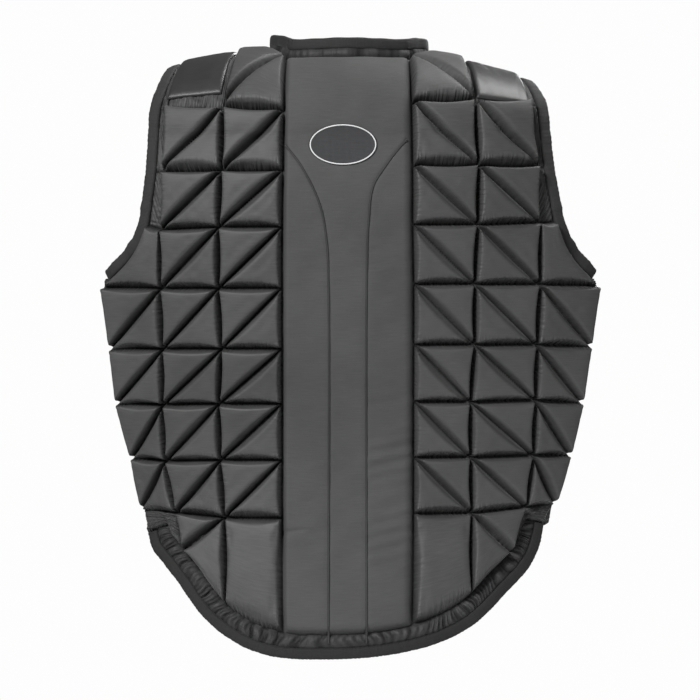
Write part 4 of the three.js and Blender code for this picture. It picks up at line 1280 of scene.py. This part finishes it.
    def folds(self, u: Array, v: Array, marks: dict[str, Array], loose: Array) -> Array:
        """Short folds square to the seams: a ripple along each seam times its mark.

        Args:
            u: column coordinate.
            v: row coordinate.
            marks: the marks of `heights`.
            loose: 1 on cloth without foam, whose folds are deeper.

        Returns:
            Lift in metres.
        """
        row_fold = ripple(u * self.pitch + np.round(v) * 2.3, self.seed + 1, low=0.7, high=1.6)
        column_fold = ripple(v * self.pitch * 1.3 + np.round(u) * 1.9, self.seed + 2, low=0.7, high=1.6)
        off_seam = np.clip(marks["from_seam"] * 1.5, 0, 1)
        fine = row_fold * marks["pleat_across"] + 0.6 * column_fold * marks["pleat_along"]
        tumble = self.TUMBLE * ripple(v * 5.3 + 2.3 * u, self.seed + 3) * loose
        broad = self.BROAD * ripple(u * 0.9 + v * 0.5, self.seed + 4)
        broad = broad * ripple(v * 0.8 - u * 0.4, self.seed + 5)
        return (self.pleat * fine * (1 + loose) + tumble + broad) * off_seam

    def grid(self, per_cell: int, detail: bool) -> tuple:
        """Lines, seam level, normals, outer surface and marks at a given fineness."""
        columns, rows = self.size
        us, vs = cell_lines(columns, per_cell), cell_lines(rows, per_cell)
        u, v = grid_of(us, vs)
        base = self.trimmed(u, v)
        normal = normals_of(self.trimmed, u, v, self.form)
        lift, marks = self.heights(u, v, detail)
        shape = (len(us), len(vs))
        outer = (base + normal * lift[:, None]).reshape(*shape, 3)
        marks = {key: mark.reshape(shape) for key, mark in marks.items()}
        return us, vs, base.reshape(*shape, 3), normal.reshape(*shape, 3), outer, marks

    def swollen(self, us: Array, vs: Array) -> Array:
        """Moves of the simulated cloth, carried from its coarser grid to lines us and vs."""
        cu, cv, _, normal, outer, marks = self.grid(self.coarse, False)
        held = np.pad(marks["from_seam"][1:-1, 1:-1] < 0.5, 1, constant_values=True)
        facing = np.cross(outer[1:, :-1] - outer[:-1, :-1], outer[:-1, 1:] - outer[:-1, :-1])
        turn = -1 if np.sum(facing * normal[:-1, :-1]) < 0 else 1
        move = ClothSimulation().swell(self.name + "_cloth", outer[:, ::turn], held[:, ::turn])[:, ::turn]
        along = spline_rows(move, np.interp(us, cu, np.arange(len(cu))))
        turned = spline_rows(along.transpose(1, 0, 2), np.interp(vs, cv, np.arange(len(cv))))
        return turned.transpose(1, 0, 2)

    def build(self, wardrobe: Wardrobe, simulate: bool) -> bpy.types.Object:
        """Makes the panel.

        Args:
            wardrobe: the finishes.
            simulate: whether the cloth is simulated.

        Returns:
            The panel.
        """
        us, vs, base, normal, outer, marks = self.grid(self.per_cell, True)
        if simulate:
            outer = outer + self.swollen(us, vs) * marks["from_seam"][..., None]
        uv = np.stack(np.meshgrid(us, vs, indexing="ij"), axis=-1) * CELL
        last = RING_WIDTH * np.clip((self.open_from - vs) / 0.2, 0.15, 1)
        reach = (RING_WIDTH, last, RING_WIDTH, RING_WIDTH)
        inner = base - normal * LINING
        piece = MeshMaker.tucked_shell(self.name + "_cloth", base, normal, outer, inner, uv, marks, reach, 75)
        wardrobe.dress(piece, "quilted_nylon", "quilted_nylon", self.name)
        return piece


def twisted(count: int, corners: int, depth: float, pace: float) -> Array:
    """Swell of a twisted cord, shape (count, corners): 1 + depth sin(pace n + turn of corner)."""
    return 1 + depth * np.sin(np.arange(count)[:, None] * pace + np.arange(corners)[None] * TURN / corners)


@dataclass
class SpinePanel:
    """Flat panel down the back, its two piped seams and the plain oval patch."""

    form: VestForm
    lift: float = 9 * MM
    piping: float = 0.85 * MM
    strip_lift: float = 4.6 * MM
    patch_centre: tuple[float, float] = (-0.028, -0.1385)
    patch_size: tuple[float, float] = (61.5 * MM, 37 * MM)
    rim: float = 0.95

    CLOTH_SIZE = (0.113, 0.51)
    CHANNEL_DEPTH, CHANNEL_WIDTH = 0.8 * MM, 1.5 * MM
    WRINKLE, BROAD, CREASE = 0.75 * MM, 0.4 * MM, 1.6 * MM
    # width of the rounded edges, as shares of the panel
    LEFT_ROUND, RIGHT_ROUND, END_ROUND = 0.045, 0.075, 0.012
    # x and z of the piped seams, as shares of half the width and of the drop
    PIPES = {
        Side.LEFT: (
            (-0.256, -0.144), (-0.179, -0.187), (-0.117, -0.243), (-0.092, -0.301), (-0.085, -0.375),
            (-0.085, -0.974),
        ),
        Side.RIGHT: (
            (0.226, -0.133), (0.152, -0.172), (0.093, -0.209), (0.073, -0.273), (0.066, -0.375),
            (0.066, -0.974),
        ),
    }
    # rings of the patch from its centre to its edge, and their lift in millimetres
    RINGS = (0.002, 0.25, 0.5, 0.7, 0.82, 0.88, 0.92, 0.97, 1.0)
    RING_LIFTS = (1.5, 1.5, 1.5, 1.45, 1.35, 1.4, 1.5, 1.4, 0.7)
    RING_POINTS = 96

    def pipe_route(self, side: Side, count: int) -> Array:
        """Even points x, z along a piped seam."""
        knots = np.insert(np.array(self.PIPES[side]) * (self.form.half_width, self.form.drop), 1, 0, axis=1)
        return curve_points(knots, even_places(knots, count))[:, [0, 2]]

    def lifts(self, base: Array, u: Array, v: Array) -> Array:
        """Lift of the panel: rounded edges, a channel along each piped seam, soft wrinkles."""
        edge = np.minimum(u / self.LEFT_ROUND, (1 - u) / self.RIGHT_ROUND)
        end = np.minimum(v, 1 - v) / self.END_ROUND
        lift = self.lift * rise(edge, 1.0) * (0.25 + 0.75 * rise(end, 1.0)) * (0.35 + 0.65 * rise(v, 0.05))
        for side in Side:
            route = self.pipe_route(side, 220)
            away = np.min(np.hypot(base[:, :1] - route[None, :, 0], base[:, 2:] - route[None, :, 1]), axis=1)
            lift = lift - self.CHANNEL_DEPTH * np.exp(-((away / self.CHANNEL_WIDTH) ** 2))
        right = np.clip((u - 0.62) / 0.1, 0, 1)
        low = np.exp(-(((v - 0.75) / 0.14) ** 2))
        wrinkle = ripple(v * 34 + 0.8 * u, 31, low=0.6, high=1.4) * (0.1 + 0.9 * right * low)
        crease = np.exp(-(((v - 0.829 + 0.04 * u) / 0.004) ** 2)) * np.clip(1 - u / 0.22, 0, 1)
        lift = lift + self.WRINKLE * wrinkle + self.BROAD * ripple(v * 6 + u * 1.4, 33)
        return lift - self.CREASE * crease

    def build_panel(self, wardrobe: Wardrobe) -> bpy.types.Object:
        """Makes the padded panel."""
        at = self.form.spine_sheet()
        us, vs = eased(np.linspace(0, 1, 73), 0.45), np.linspace(0, 1, 360)
        u, v = grid_of(us, vs)
        base, normal = at(u, v), normals_of(at, u, v, self.form, 0.002)
        outer = base + normal * self.lifts(base, u, v)[:, None]
        inner = base - normal * LINING
        shaped = [grid.reshape(len(us), len(vs), 3) for grid in (base, normal, outer, inner)]
        uv = np.stack(np.meshgrid(us, vs, indexing="ij"), axis=-1) * self.CLOTH_SIZE
        piece = MeshMaker.tucked_shell("spine_panel_cloth", *shaped, uv, {}, (RING_WIDTH,) * 4, 70)
        wardrobe.dress(piece, "spine_cloth", "spine_cloth", "spine_panel")
        return piece

    def build_pipes(self, wardrobe: Wardrobe) -> None:
        """Makes the two piped seams as thin cords sewn into their channels."""
        profile = tape_profile(2.4 * self.piping, 2 * self.piping, 12, 0.9)
        for side in Side:
            x, z = self.pipe_route(side, 420).T
            normal = normals_of(self.form.back_point, x, z, self.form, LEVEL_STEP)
            low = np.clip((-0.946 * self.form.drop - z) / (7 * MM), 0, 1)
            height = self.lift * (1 - low) + self.strip_lift * low - 0.15 * MM
            path = self.form.back_point(x, z) + normal * height[:, None]
            twist = twisted(len(path), len(profile), 0.05, 1.1)
            piece = MeshMaker.sweep("spine_cord_" + side.word, path, normal, profile, False, twist)
            wardrobe.dress(piece, "piping", "piping", "spine_piping_" + side.word)

    def above(self, x: Array, z: Array, lift: Array) -> tuple[Array, Array]:
        """Points lifted off the back along its normal that end at the given x and z.

        Args:
            x: x of the lifted points.
            z: z of the lifted points.
            lift: how far each lies over the seam level.

        Returns:
            Points and normals.
        """
        foot_x, foot_z = x, z
        for _ in range(8):
            normal = normals_of(self.form.back_point, foot_x, foot_z, self.form, LEVEL_STEP)
            foot_x, foot_z = x - normal[:, 0] * lift, z - normal[:, 2] * lift
        return self.form.back_point(foot_x, foot_z) + normal * lift[:, None], normal

    def on_patch(self, radius: Array | float, angle: Array) -> tuple[Array, Array]:
        """x and z at a share of the oval's radius and an angle round its centre."""
        x = self.patch_centre[0] * self.form.half_width + self.patch_size[0] / 2 * radius * np.cos(angle)
        z = self.patch_centre[1] * self.form.drop + self.patch_size[1] / 2 * radius * np.sin(angle)
        return x, z

    def build_patch(self, wardrobe: Wardrobe) -> None:
        """Makes the plain oval patch: a low dome with a sewn rim."""
        radius, angle = grid_of(np.array(self.RINGS), np.linspace(0, TURN, self.RING_POINTS, endpoint=False))
        x, z = self.on_patch(radius, angle)
        lift = np.repeat(np.array(self.RING_LIFTS) * MM, self.RING_POINTS)
        outer, normal = self.above(x, z, self.lift + lift)
        inner = outer - normal * (lift + 0.4 * MM)[:, None]
        o = np.arange(lift.size).reshape(len(self.RINGS), self.RING_POINTS)
        o = np.concatenate([o, o[:, :1]], axis=1)
        n = o + lift.size
        wall = np.stack([o[-1, 1:], o[-1, :-1], n[-1, :-1], n[-1, 1:]], axis=-1)
        quads = np.concatenate([MeshMaker.quads(o), MeshMaker.quads(n)[:, ::-1], wall])
        caps = [o[0, :-1][::-1], n[0, :-1]]
        uv = np.concatenate([np.stack([x, z], axis=-1)] * 2)
        piece = MeshMaker.build("oval_patch_cloth", np.concatenate([outer, inner]), quads, uv, None, caps, 40)
        wardrobe.dress(piece, "patch", "patch", "oval_patch")

    def build_rim(self, wardrobe: Wardrobe) -> None:
        """Makes the pale thread sewn round the patch."""
        x, z = self.on_patch(self.rim, np.linspace(0, TURN, 240, endpoint=False))
        path, normal = self.above(x, z, np.full_like(x, self.lift + 1.55 * MM))
        profile = tape_profile(1.15 * MM, 0.8 * MM, 10, 0.9)
        twist = twisted(len(path), len(profile), 0.12, 1.9)
        piece = MeshMaker.sweep("patch_rim_thread", path, normal, profile, True, twist)
        wardrobe.dress(piece, "pale_thread", "patch")


@dataclass
class Tape:
    """One ribbed tape: a rounded oblong swept along a smooth curve."""

    name: str
    node: str
    count: int
    seed: int
    width: float = BINDING_WIDTH
    thick: float = BINDING_THICK
    closed: bool = False
    finish: str = "binding_tape"

    def build(self, marks: Array, lifts: Array, wardrobe: Wardrobe) -> None:
        """Sweeps the slightly uneven tape.

        Args:
            marks: points that the curve passes through, shape (n, 3).
            lifts: outward directions there.
            wardrobe: the finishes.
        """
        t = even_places(marks, self.count, self.closed)
        path = curve_points(marks, t, self.closed)
        normals = unit(curve_points(lifts, t, self.closed))
        place = np.arange(self.count) / self.count
        uneven = 0.05 * ripple(place * 26, 70 + self.seed) + 0.03 * ripple(place * 80, 80 + self.seed)
        profile = tape_profile(self.width, self.thick)
        piece = MeshMaker.sweep(self.name, path, normals, profile, self.closed, 1 + uneven[:, None])
        wardrobe.dress(piece, self.finish, "binding_tape", self.node)


def outer_edge(t: Array) -> tuple[Array, ...]:
    """u, v on the outer column line of a panel, and u, v a little further in."""
    return 3.0 + 0 * t, t, 2.9 + 0 * t, t


def upper_edge(t: Array) -> tuple[Array, ...]:
    """u, v on the upper row line of a panel, and u, v a little further in."""
    return t, 0 * t, t, 0.12 + 0 * t


@dataclass
class Edges:
    """Tapes round the arm holes and the hems, and the gathered strip of the tail."""

    form: VestForm
    # places along the arm hole: up the back, down the front, under the arm
    back_places: tuple = (3.86, 3.52, 3.1, 2.6, 2, 1.5, 1, 0.6, 0.3, 0.08)
    front_places: tuple = (0.12, 0.4, 0.8, 1.2, 1.7, 2.2, 3, 3.6)
    under_places: tuple = (0.35, 1, 1.7, 2.3, 2.7)
    tape_ends: tuple[float, float] = (0.008, 0.992)
    strip_ends: tuple[float, float] = (0.001, 0.999)
    ruffle: float = 2.6 * MM
    swell: float = 2.8 * MM

    def lifted(self, at: Sheet, u: Array, v: Array, height: float) -> Array:
        """Sheet lifted along its normal."""
        return at(u, v) + normals_of(at, u, v, self.form) * height

    def beside(
        self, at: Sheet, edge: Callable[[Array], tuple[Array, ...]], places: tuple[float, ...], away: float
    ) -> tuple[Array, Array]:
        """Points a set distance outside an edge of a sheet, midway between cloth and lining.

        Args:
            at: the sheet.
            edge: gives u, v on the edge and u, v further in, for a place along it.
            places: where along the edge.
            away: distance outside it.

        Returns:
            Points and the sheet's normals there.
        """
        t = np.array(places, float)
        height = (FLAT - LINING) / 2
        u, v, inner_u, inner_v = edge(t)
        p = self.lifted(at, u, v, height)
        ahead, behind = (self.lifted(at, *edge(t + d)[:2], height) for d in (0.02, -0.02))
        along = unit(ahead - behind)
        out = p - self.lifted(at, inner_u, inner_v, height)
        out = unit(out - along * np.sum(out * along, axis=1, keepdims=True))
        return p + out * away, normals_of(at, u, v, self.form)

    def build_armholes(self, wardrobe: Wardrobe) -> None:
        """Makes the two arm hole tapes: up the back, over the shoulder, down the front, under."""
        away = BINDING_WIDTH / 2 + GAP
        for side in Side:
            up = self.beside(self.form.back_sheet(side), outer_edge, self.back_places, away)
            away_front = away + 1.5 * GAP
            down = self.beside(self.form.front_sheet(side), outer_edge, self.front_places, away_front)
            under = self.beside(self.form.flank_sheet(side), upper_edge, self.under_places, away_front)
            marks, lifts = (np.concatenate([part[k] for part in (up, down, under)]) for k in (0, 1))
            node = "armhole_binding_" + side.word
            tape = Tape(node + "_tape", node, 520, 1, width=BINDING_WIDTH + 0.6 * MM, closed=True)
            tape.build(marks, lifts, wardrobe)

    def build_hems(self, wardrobe: Wardrobe) -> None:
        """Makes the tail tape and the two front hem tapes."""
        form = self.form
        x, z = form.tail_point(np.linspace(*self.tape_ends, 41), BINDING_WIDTH / 2)
        lifts = normals_of(form.back_point, x, z, form, LEVEL_STEP)
        # the tail tape takes the darker copy of the binding tape, as painted shade
        tape = Tape("hem_tape", "hem_binding", 460, 2, thick=6.5 * MM, finish="hem_tape_cloth")
        tape.build(form.back_point(x, z), lifts, wardrobe)
        q = np.linspace(form.front_inner + 0.03, 5.9, 25)
        level = np.full_like(q, form.front_rows[-1] * form.drop - (BINDING_WIDTH + GAP) / 2)
        for side in Side:

            def at(u: Array, v: Array) -> Array:
                return form.front_point(u, v, side)

            n = normals_of(at, q, level, form, LEVEL_STEP)
            node = "front_hem_binding_" + side.word
            tape = Tape(node + "_tape", node, 260, 3)
            tape.build(at(q, level) + n * (FLAT - LINING) / 2, n, wardrobe)

    def build_strip(self, wardrobe: Wardrobe) -> None:
        """Makes the gathered strip of the tail: ruffles across it, deepest in its middle, with painted shade
        in their valleys.
        """
        us, vs = np.linspace(*self.strip_ends, 1300), np.linspace(0, 1, 13)
        u, v = grid_of(us, vs)

        def at(a: Array, b: Array) -> Array:
            inset = (HEM_INSET - 2 * GAP) * (1 - b) + (BINDING_WIDTH + GAP / 2) * b
            return self.form.back_point(*self.form.tail_point(a, inset))

        base, normal = at(u, v), normals_of(at, u, v, self.form, 0.002)
        lean = u + 0.004 * np.sin(v * 3 + u * 40)
        fold = 0.8 * ripple(lean * 36, 41, low=0.6, high=1.3)
        fold = fold + 0.4 * ripple(lean * 90 + 0.3 * v, 43, low=0.7, high=1.3)
        bulge = np.sin(math.pi * np.clip(v * 0.94 + 0.03, 0, 1)) ** 0.7
        bulge = bulge * rise(np.minimum(u - us[0], us[-1] - u), 0.014)
        outer = base + normal * (1.0 * MM + (self.swell + self.ruffle * fold) * bulge)[:, None]
        inner = base - normal * 2 * MM
        shape = (len(us), len(vs))
        shaped = [grid.reshape(*shape, 3) for grid in (base, normal, outer, inner)]
        uv = np.stack([u * 0.56, v * 11 * MM], axis=-1).reshape(*shape, 2)
        # painted shade: from_seam is low in the valleys of the folds, so the colour is darker there
        marks = {
            "from_seam": np.clip(0.62 + 0.8 * fold, 0.1, 1).reshape(shape),
            "pleat_across": np.full(shape, 0.3),
            "pleat_along": np.full(shape, 0.1),
        }
        reach = (0.3 * MM, 0.3 * MM, RING_WIDTH, RING_WIDTH)
        piece = MeshMaker.tucked_shell("hem_gather_cloth", *shaped, uv, marks, reach, 70)
        wardrobe.dress(piece, "gathered_cloth", "gathered_cloth", "hem_gather")


@dataclass
class Collar:
    """Low gathered collar and the tape along its top."""

    form: VestForm
    height: float = 9.5 * MM
    thick: float = 2.6 * MM
    sink: float = 3.5 * MM
    fold: float = 0.9 * MM
    inward_lean: float = 0.06
    band_height: float = 9.6 * MM
    band_thick: float = 5 * MM

    WAVE, BELLY = 1.6 * MM, 1.8 * MM

    def foot_marks(self) -> Array:
        """Marks of the collar's foot, a little inside the edge of the neck opening."""

        def top_of(at: Sheet, u: float) -> Array:
            return at(np.array([u]), np.zeros(1))[0]

        edge = []
        for side in Side:
            front, back = self.form.front_sheet(side), self.form.back_sheet(side)
            half = [top_of(front, u) for u in (0.0, 0.5, 0.8, 1.1)]
            half += [top_of(back, part * self.form.neck_column) for part in (0.95, 0.6, 0.25, 0)]
            edge.append(half)
        marks = np.array([*edge[0], top_of(self.form.spine_sheet(), 0.5), *edge[1][::-1]])
        inward = unit(-marks * (1, 1, 0))
        facing = np.abs(inward[:, 1:2])
        foot = marks + inward * (self.thick / 2 + self.fold + 2 * GAP + LINING * facing)
        foot[:, 2] = marks[:, 2] - self.sink * (1 - facing[:, 0])
        return foot

    def frame_at(self, count: int) -> tuple[Array, Array, Array]:
        """Points of the foot with their directions.

        Args:
            count: number of points, evenly spaced from one front end to the other.

        Returns:
            Points, up directions and outward directions.
        """
        marks = self.foot_marks()
        p = curve_points(marks, even_places(marks, count))
        along = unit(np.gradient(p, axis=0))
        out = unit((p - (0, 4 * MM, 0)) * (1, 1, 0))
        up = unit(out * -self.inward_lean * (1, 1, 0) + (0, 0, 1))
        up = unit(up - along * np.sum(up * along, axis=1, keepdims=True))
        side = unit(np.cross(along, up))
        return p, up, np.where(np.sum(side * out, axis=1, keepdims=True) < 0, -side, side)

    def build(self, wardrobe: Wardrobe) -> None:
        """Makes the gathered collar, with painted shade in the valleys of its folds."""
        count, rows = 1100, 11
        p, up, out = self.frame_at(count)
        v = np.linspace(-0.3, 1, rows)
        place = np.arange(count) / count
        fold = 0.8 * ripple(place * 24, 51, low=0.6, high=1.3)
        fold = fold + 0.2 * ripple(place * 60, 53, low=0.7, high=1.3)
        belly = np.sin(math.pi * np.clip(v, 0, 1))
        wave = fold[:, None] * (0.3 + 0.7 * belly)[None] * self.WAVE + self.BELLY * belly[None]
        wall = p[:, None] + up[:, None] * (v * (self.height + 1 * MM))[None, :, None]
        outer = wall + out[:, None] * (self.thick / 2 + wave)[..., None]
        inner = wall + out[:, None] * (-self.thick / 2 + 0.5 * wave)[..., None]
        uv = np.stack(np.meshgrid(place * 0.45, v * self.height, indexing="ij"), axis=-1)
        # painted shade: from_seam is low in the valleys of the folds, so the colour is darker there
        marks = {
            "from_seam": np.repeat(np.clip(0.6 + 0.7 * fold, 0.15, 1)[:, None], rows, axis=1),
            "pleat_across": np.full((count, rows), 0.2),
            "pleat_along": np.full((count, rows), 0.1),
        }
        piece = MeshMaker.shell("collar_cloth", outer, inner, uv, marks, sharp=70)
        wardrobe.dress(piece, "gathered_cloth", "gathered_cloth", "neck_collar")

    def build_tape(self, wardrobe: Wardrobe) -> None:
        """Makes the tape along the top of the collar."""
        count = 420
        p, up, out = self.frame_at(count)
        path = p + up * (self.height + GAP + self.band_height / 2)
        uneven = 1 + 0.03 * np.sin(np.arange(count)[:, None] * 0.35)
        profile = tape_profile(self.band_height + 0.6 * MM, self.band_thick)
        piece = MeshMaker.sweep("neck_tape", path, out, profile, False, uneven)
        wardrobe.dress(piece, "binding_tape", "binding_tape", "neck_binding")


@dataclass
class ShoulderStrap:
    """Smooth strap that comes over the shoulder from the front.

    back and front are its ends, in degrees from the ridge of the shoulder.
    """

    form: VestForm
    side: Side
    back: float = -62.0
    front: float = 74.0
    lift: float = FLAT + GAP
    thick: float = 2.4 * MM
    inset: float = 4 * MM

    def sheet(self) -> Sheet:
        """u across the strap, v from its back end over the ridge to its front end."""
        form, inset = self.form, self.side.value * self.inset
        seams = form.seams(self.side)[..., 0]

        def at(u: Array, v: Array) -> Array:
            angle = self.back + (self.front - self.back) * v
            away = np.clip(-angle / 70, 0, 1)
            inner = seams[0, 1] * (1 - away) + seams[1, 1] * away + inset
            outer = seams[0, 3] * (1 - away) + seams[1, 3] * away - inset
            x = inner * (1 - u) + outer * u
            z = form.start + (form.ridge(x) - form.start) * np.cos(np.radians(angle))
            ahead = form.front_point(form.section_at(x, self.side), z, self.side)
            return np.where((angle < 0)[:, None], form.back_point(x, z), ahead)

        return at

    def build(self, wardrobe: Wardrobe) -> None:
        """Makes the strap, with rounded edges and a sewn line inside them."""
        at = self.sheet()
        us, vs = np.linspace(0, 1, 61), np.linspace(0, 1, 150)
        u, v = grid_of(us, vs)
        border = np.minimum(np.minimum(u, 1 - u) * 60, np.minimum(v, 1 - v) * 160)
        crown = rise(border, 4.5)
        soft = 0.2 * ripple(v * 1.6 + u, 61 + self.side.value, high=1.4)
        soft = soft + 0.04 * ripple(u * 4 + v, 67, high=1.4)
        lift = self.lift + self.thick * (0.3 + 0.7 * crown)
        lift = lift + MM * (soft * crown + 0.5 * np.clip(border / 14, 0, 1))
        base, normal = at(u, v), normals_of(at, u, v, self.form)
        shape = (len(us), len(vs), 3)
        outer = (base + normal * lift[:, None]).reshape(shape)
        inner = (base + normal * self.lift).reshape(shape)
        uv = np.stack(np.meshgrid(us * 0.058, vs * 0.15, indexing="ij"), axis=-1)
        piece = MeshMaker.shell("strap_cloth_" + self.side.word, outer, inner, uv, sharp=70)
        wardrobe.dress(piece, "strap_cloth", "strap_cloth", "shoulder_strap_" + self.side.word)


@dataclass
class FrontZip:
    """Closed zip down the middle of the front, plain because the photo doesn't show it."""

    form: VestForm
    pitch: float = 3 * MM
    tooth: tuple[float, float, float] = (5.2 * MM, 2 * MM, 1.9 * MM)
    slider: tuple[float, float, float] = (9 * MM, 3.2 * MM, 11 * MM)
    pull: tuple[float, float, float] = (5 * MM, 1.6 * MM, 26 * MM)

    @property
    def ends(self) -> tuple[float, float]:
        """Heights of the lower and upper end."""
        return (
            self.form.front_rows[-1] * self.form.drop - BINDING_WIDTH,
            self.form.neck_front * self.form.drop - 3 * MM,
        )

    def edge(self, z: Array) -> Array:
        """Edge of the zip at height z."""
        return self.form.front_point(np.full_like(z, self.form.front_inner), z, Side.RIGHT)

    def boxes(self, centres: Array, size: tuple[float, float, float]) -> tuple[Array, Array]:
        """Corners and faces of one small box at each centre."""
        corner = np.array([[x, y, z] for x in (-0.5, 0.5) for y in (-0.5, 0.5) for z in (-0.5, 0.5)]) * size
        face = np.array([[0, 1, 3, 2], [4, 6, 7, 5], [0, 4, 5, 1], [2, 3, 7, 6], [0, 2, 6, 4], [1, 5, 7, 3]])
        points = (centres[:, None] + corner[None]).reshape(-1, 3)
        faces = (face[None] + np.arange(len(centres))[:, None, None] * 8).reshape(-1, 4)
        return points, faces

    def build_tape(self, wardrobe: Wardrobe) -> None:
        """Makes the tape, with a low ridge down each half."""
        us, vs = np.linspace(-1, 1, 15), np.linspace(*self.ends, 160)
        u, z = grid_of(us, vs)
        edge = self.edge(z)
        tape = 1.1 * MM + 0.5 * MM * np.exp(-(((np.abs(u) - 0.55) / 0.12) ** 2))
        base = np.stack([u * (edge[:, 0] - GAP / 2), edge[:, 1], z], axis=-1)
        shape = (len(us), len(vs))
        outer = (base + tape[:, None] * (0, 1, 0)).reshape(*shape, 3)
        inner = (base - (0, 2.4 * MM, 0)).reshape(*shape, 3)
        uv = np.stack([u * 8 * MM, z], axis=-1).reshape(*shape, 2)
        piece = MeshMaker.shell("front_zip_tape", outer, inner, uv)
        wardrobe.dress(piece, "zip_tape", "zip_tape", "front_zip")

    def build_teeth(self, wardrobe: Wardrobe) -> None:
        """Makes the teeth, the slider and its plain pull."""
        low, high = self.ends
        z = np.arange(low + 6 * MM, high - 5 * MM, self.pitch)
        x = np.where(np.arange(len(z)) % 2, 0.5, -0.5) * MM
        points, faces = self.boxes(np.stack([x, self.edge(z)[:, 1] + 1.9 * MM, z], axis=-1), self.tooth)
        slider_z = high - 9 * MM
        depth = self.edge(np.array([slider_z]))[0, 1]
        for centre, size in (
            ((0, depth + 3.4 * MM, slider_z), self.slider),
            ((0, depth + 5.6 * MM, slider_z - 17 * MM), self.pull),
        ):
            extra, quads = self.boxes(np.array([centre]), size)
            faces = np.concatenate([faces, quads + len(points)])
            points = np.concatenate([points, extra])
        piece = MeshMaker.build("front_zip_teeth", points, faces, points[:, [0, 2]], sharp=30)
        bevel = piece.modifiers.new("bevel", "BEVEL")
        bevel.width = 0.35 * MM
        bevel.segments = 2
        wardrobe.dress(piece, "zip_teeth", "zip_tape")


@dataclass
class Studio:
    """Camera, soft lights, pale surround and floor."""

    pixel: float = 0.9 * MM
    picture: int = 700
    lens: float = 300.0
    sensor: float = 36.0
    subject_y: float = -0.085
    centre: tuple[float, float] = (0.0, -0.2574)
    aim: tuple[float, float, float] = (0.0, 0.0, -0.25)
    surround: float = 0.984
    given_light: float = 0.1
    floor_radius: float = 1.15
    floor_level: float = -0.86

    # name, place, size in metres and power in watts
    LIGHTS = (
        ("key", (-1.9, -3.4, 2.1), 1.3, 238),
        ("fill", (1.5, -2.3, -0.6), 1.8, 15),
        ("rim", (0.85, 0.5, 1.8), 0.6, 30),
        ("front", (1.3, 2.9, 0.35), 1.4, 60),
    )

    def build_camera(self) -> None:
        """Level camera straight on to the back: distance = frame width * lens / sensor."""
        data = bpy.data.cameras.new("camera")
        data.lens = self.lens
        data.sensor_width = self.sensor
        camera = linked("camera", data)
        distance = self.pixel * self.picture * self.lens / self.sensor
        camera.location = (self.centre[0], self.subject_y - distance, self.centre[1])
        camera.rotation_euler = (math.pi / 2, 0, 0)
        bpy.context.scene.camera = camera

    def light(self, name: str, place: tuple[float, float, float], size: float, power: float) -> None:
        """Square soft light that faces the middle of the vest."""
        data = bpy.data.lights.new(name, "AREA")
        data.size = size
        data.energy = power
        lamp = linked(name, data)
        lamp.location = place
        lamp.rotation_euler = (Vector(self.aim) - Vector(place)).to_track_quat("-Z", "Y").to_euler()

    def build_world(self) -> None:
        """Pale surround for the camera, dimmer for the light it gives."""
        world = bpy.data.worlds.new("surround")
        bpy.context.scene.world = world
        nodes = Nodes.emptied(world)
        seen, given = (
            nodes.add("ShaderNodeBackground", Color=(*grey(tone), 1.0), Strength=strength).outputs[0]
            for tone, strength in ((self.surround, 1.0), (1.0, self.given_light))
        )
        direct = nodes.add("ShaderNodeLightPath").outputs["Is Camera Ray"]
        mix = nodes.add("ShaderNodeMixShader", i0=direct, i1=given, i2=seen)
        nodes.add("ShaderNodeOutputWorld", Surface=mix.outputs[0])

    def build_floor(self) -> None:
        """Pale round floor well below the vest, outside the camera's view."""
        turn = np.linspace(0, TURN, 96, endpoint=False)
        x, y = self.floor_radius * np.cos(turn), self.floor_radius * np.sin(turn)
        points = np.stack([x, y, np.full_like(turn, self.floor_level)], axis=-1)
        mesh = bpy.data.meshes.new("floor")
        mesh.from_pydata(points.tolist(), [], [list(range(len(points)))])
        floor = linked("floor", mesh)
        material = bpy.data.materials.new("floor_paint")
        material.use_nodes = True
        shader = material.node_tree.nodes["Principled BSDF"]
        shader.inputs["Base Color"].default_value = (0.82, 0.82, 0.83, 1)
        shader.inputs["Roughness"].default_value = 0.8
        mesh.materials.append(material)

    def build(self) -> None:
        """Makes the whole studio."""
        self.build_camera()
        self.build_world()
        self.build_floor()
        for light in self.LIGHTS:
            self.light(*light)
        bpy.context.scene.view_settings.view_transform = "Standard"


def quilts_of(form: VestForm, side: Side) -> tuple[Quilt, ...]:
    """The three quilted panels of one side."""
    sign, word = side.value, side.word
    return (
        Quilt(
            "back_quilt_" + word, form.back_sheet(side), BACK_CELLS, form, 10 + sign, per_cell=40,
            open_from=4.1, edge_floor=0.82, top_flat=0.5,
        ),
        Quilt("front_quilt_" + word, form.front_sheet(side), FRONT_CELLS, form, 20 + sign),
        Quilt("side_quilt_" + word, form.flank_sheet(side), SIDE_CELLS, form, 30 + sign),
    )


def main() -> None:
    """Builds the studio and every piece of the vest in order."""
    logging.basicConfig(level=logging.INFO, format="%(message)s")
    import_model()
    form = VestForm()
    Studio().build()
    wardrobe = Wardrobe()
    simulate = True
    for side in Side:
        for quilt in quilts_of(form, side):
            quilt.build(wardrobe, simulate)
        ShoulderStrap(form, side).build(wardrobe)
    spine = SpinePanel(form)
    spine.build_panel(wardrobe)
    spine.build_pipes(wardrobe)
    spine.build_patch(wardrobe)
    spine.build_rim(wardrobe)
    edges = Edges(form)
    edges.build_armholes(wardrobe)
    edges.build_hems(wardrobe)
    edges.build_strip(wardrobe)
    collar = Collar(form)
    collar.build(wardrobe)
    collar.build_tape(wardrobe)
    front_zip = FrontZip(form)
    front_zip.build_tape(wardrobe)
    front_zip.build_teeth(wardrobe)


if __name__ == "__main__":
    main()
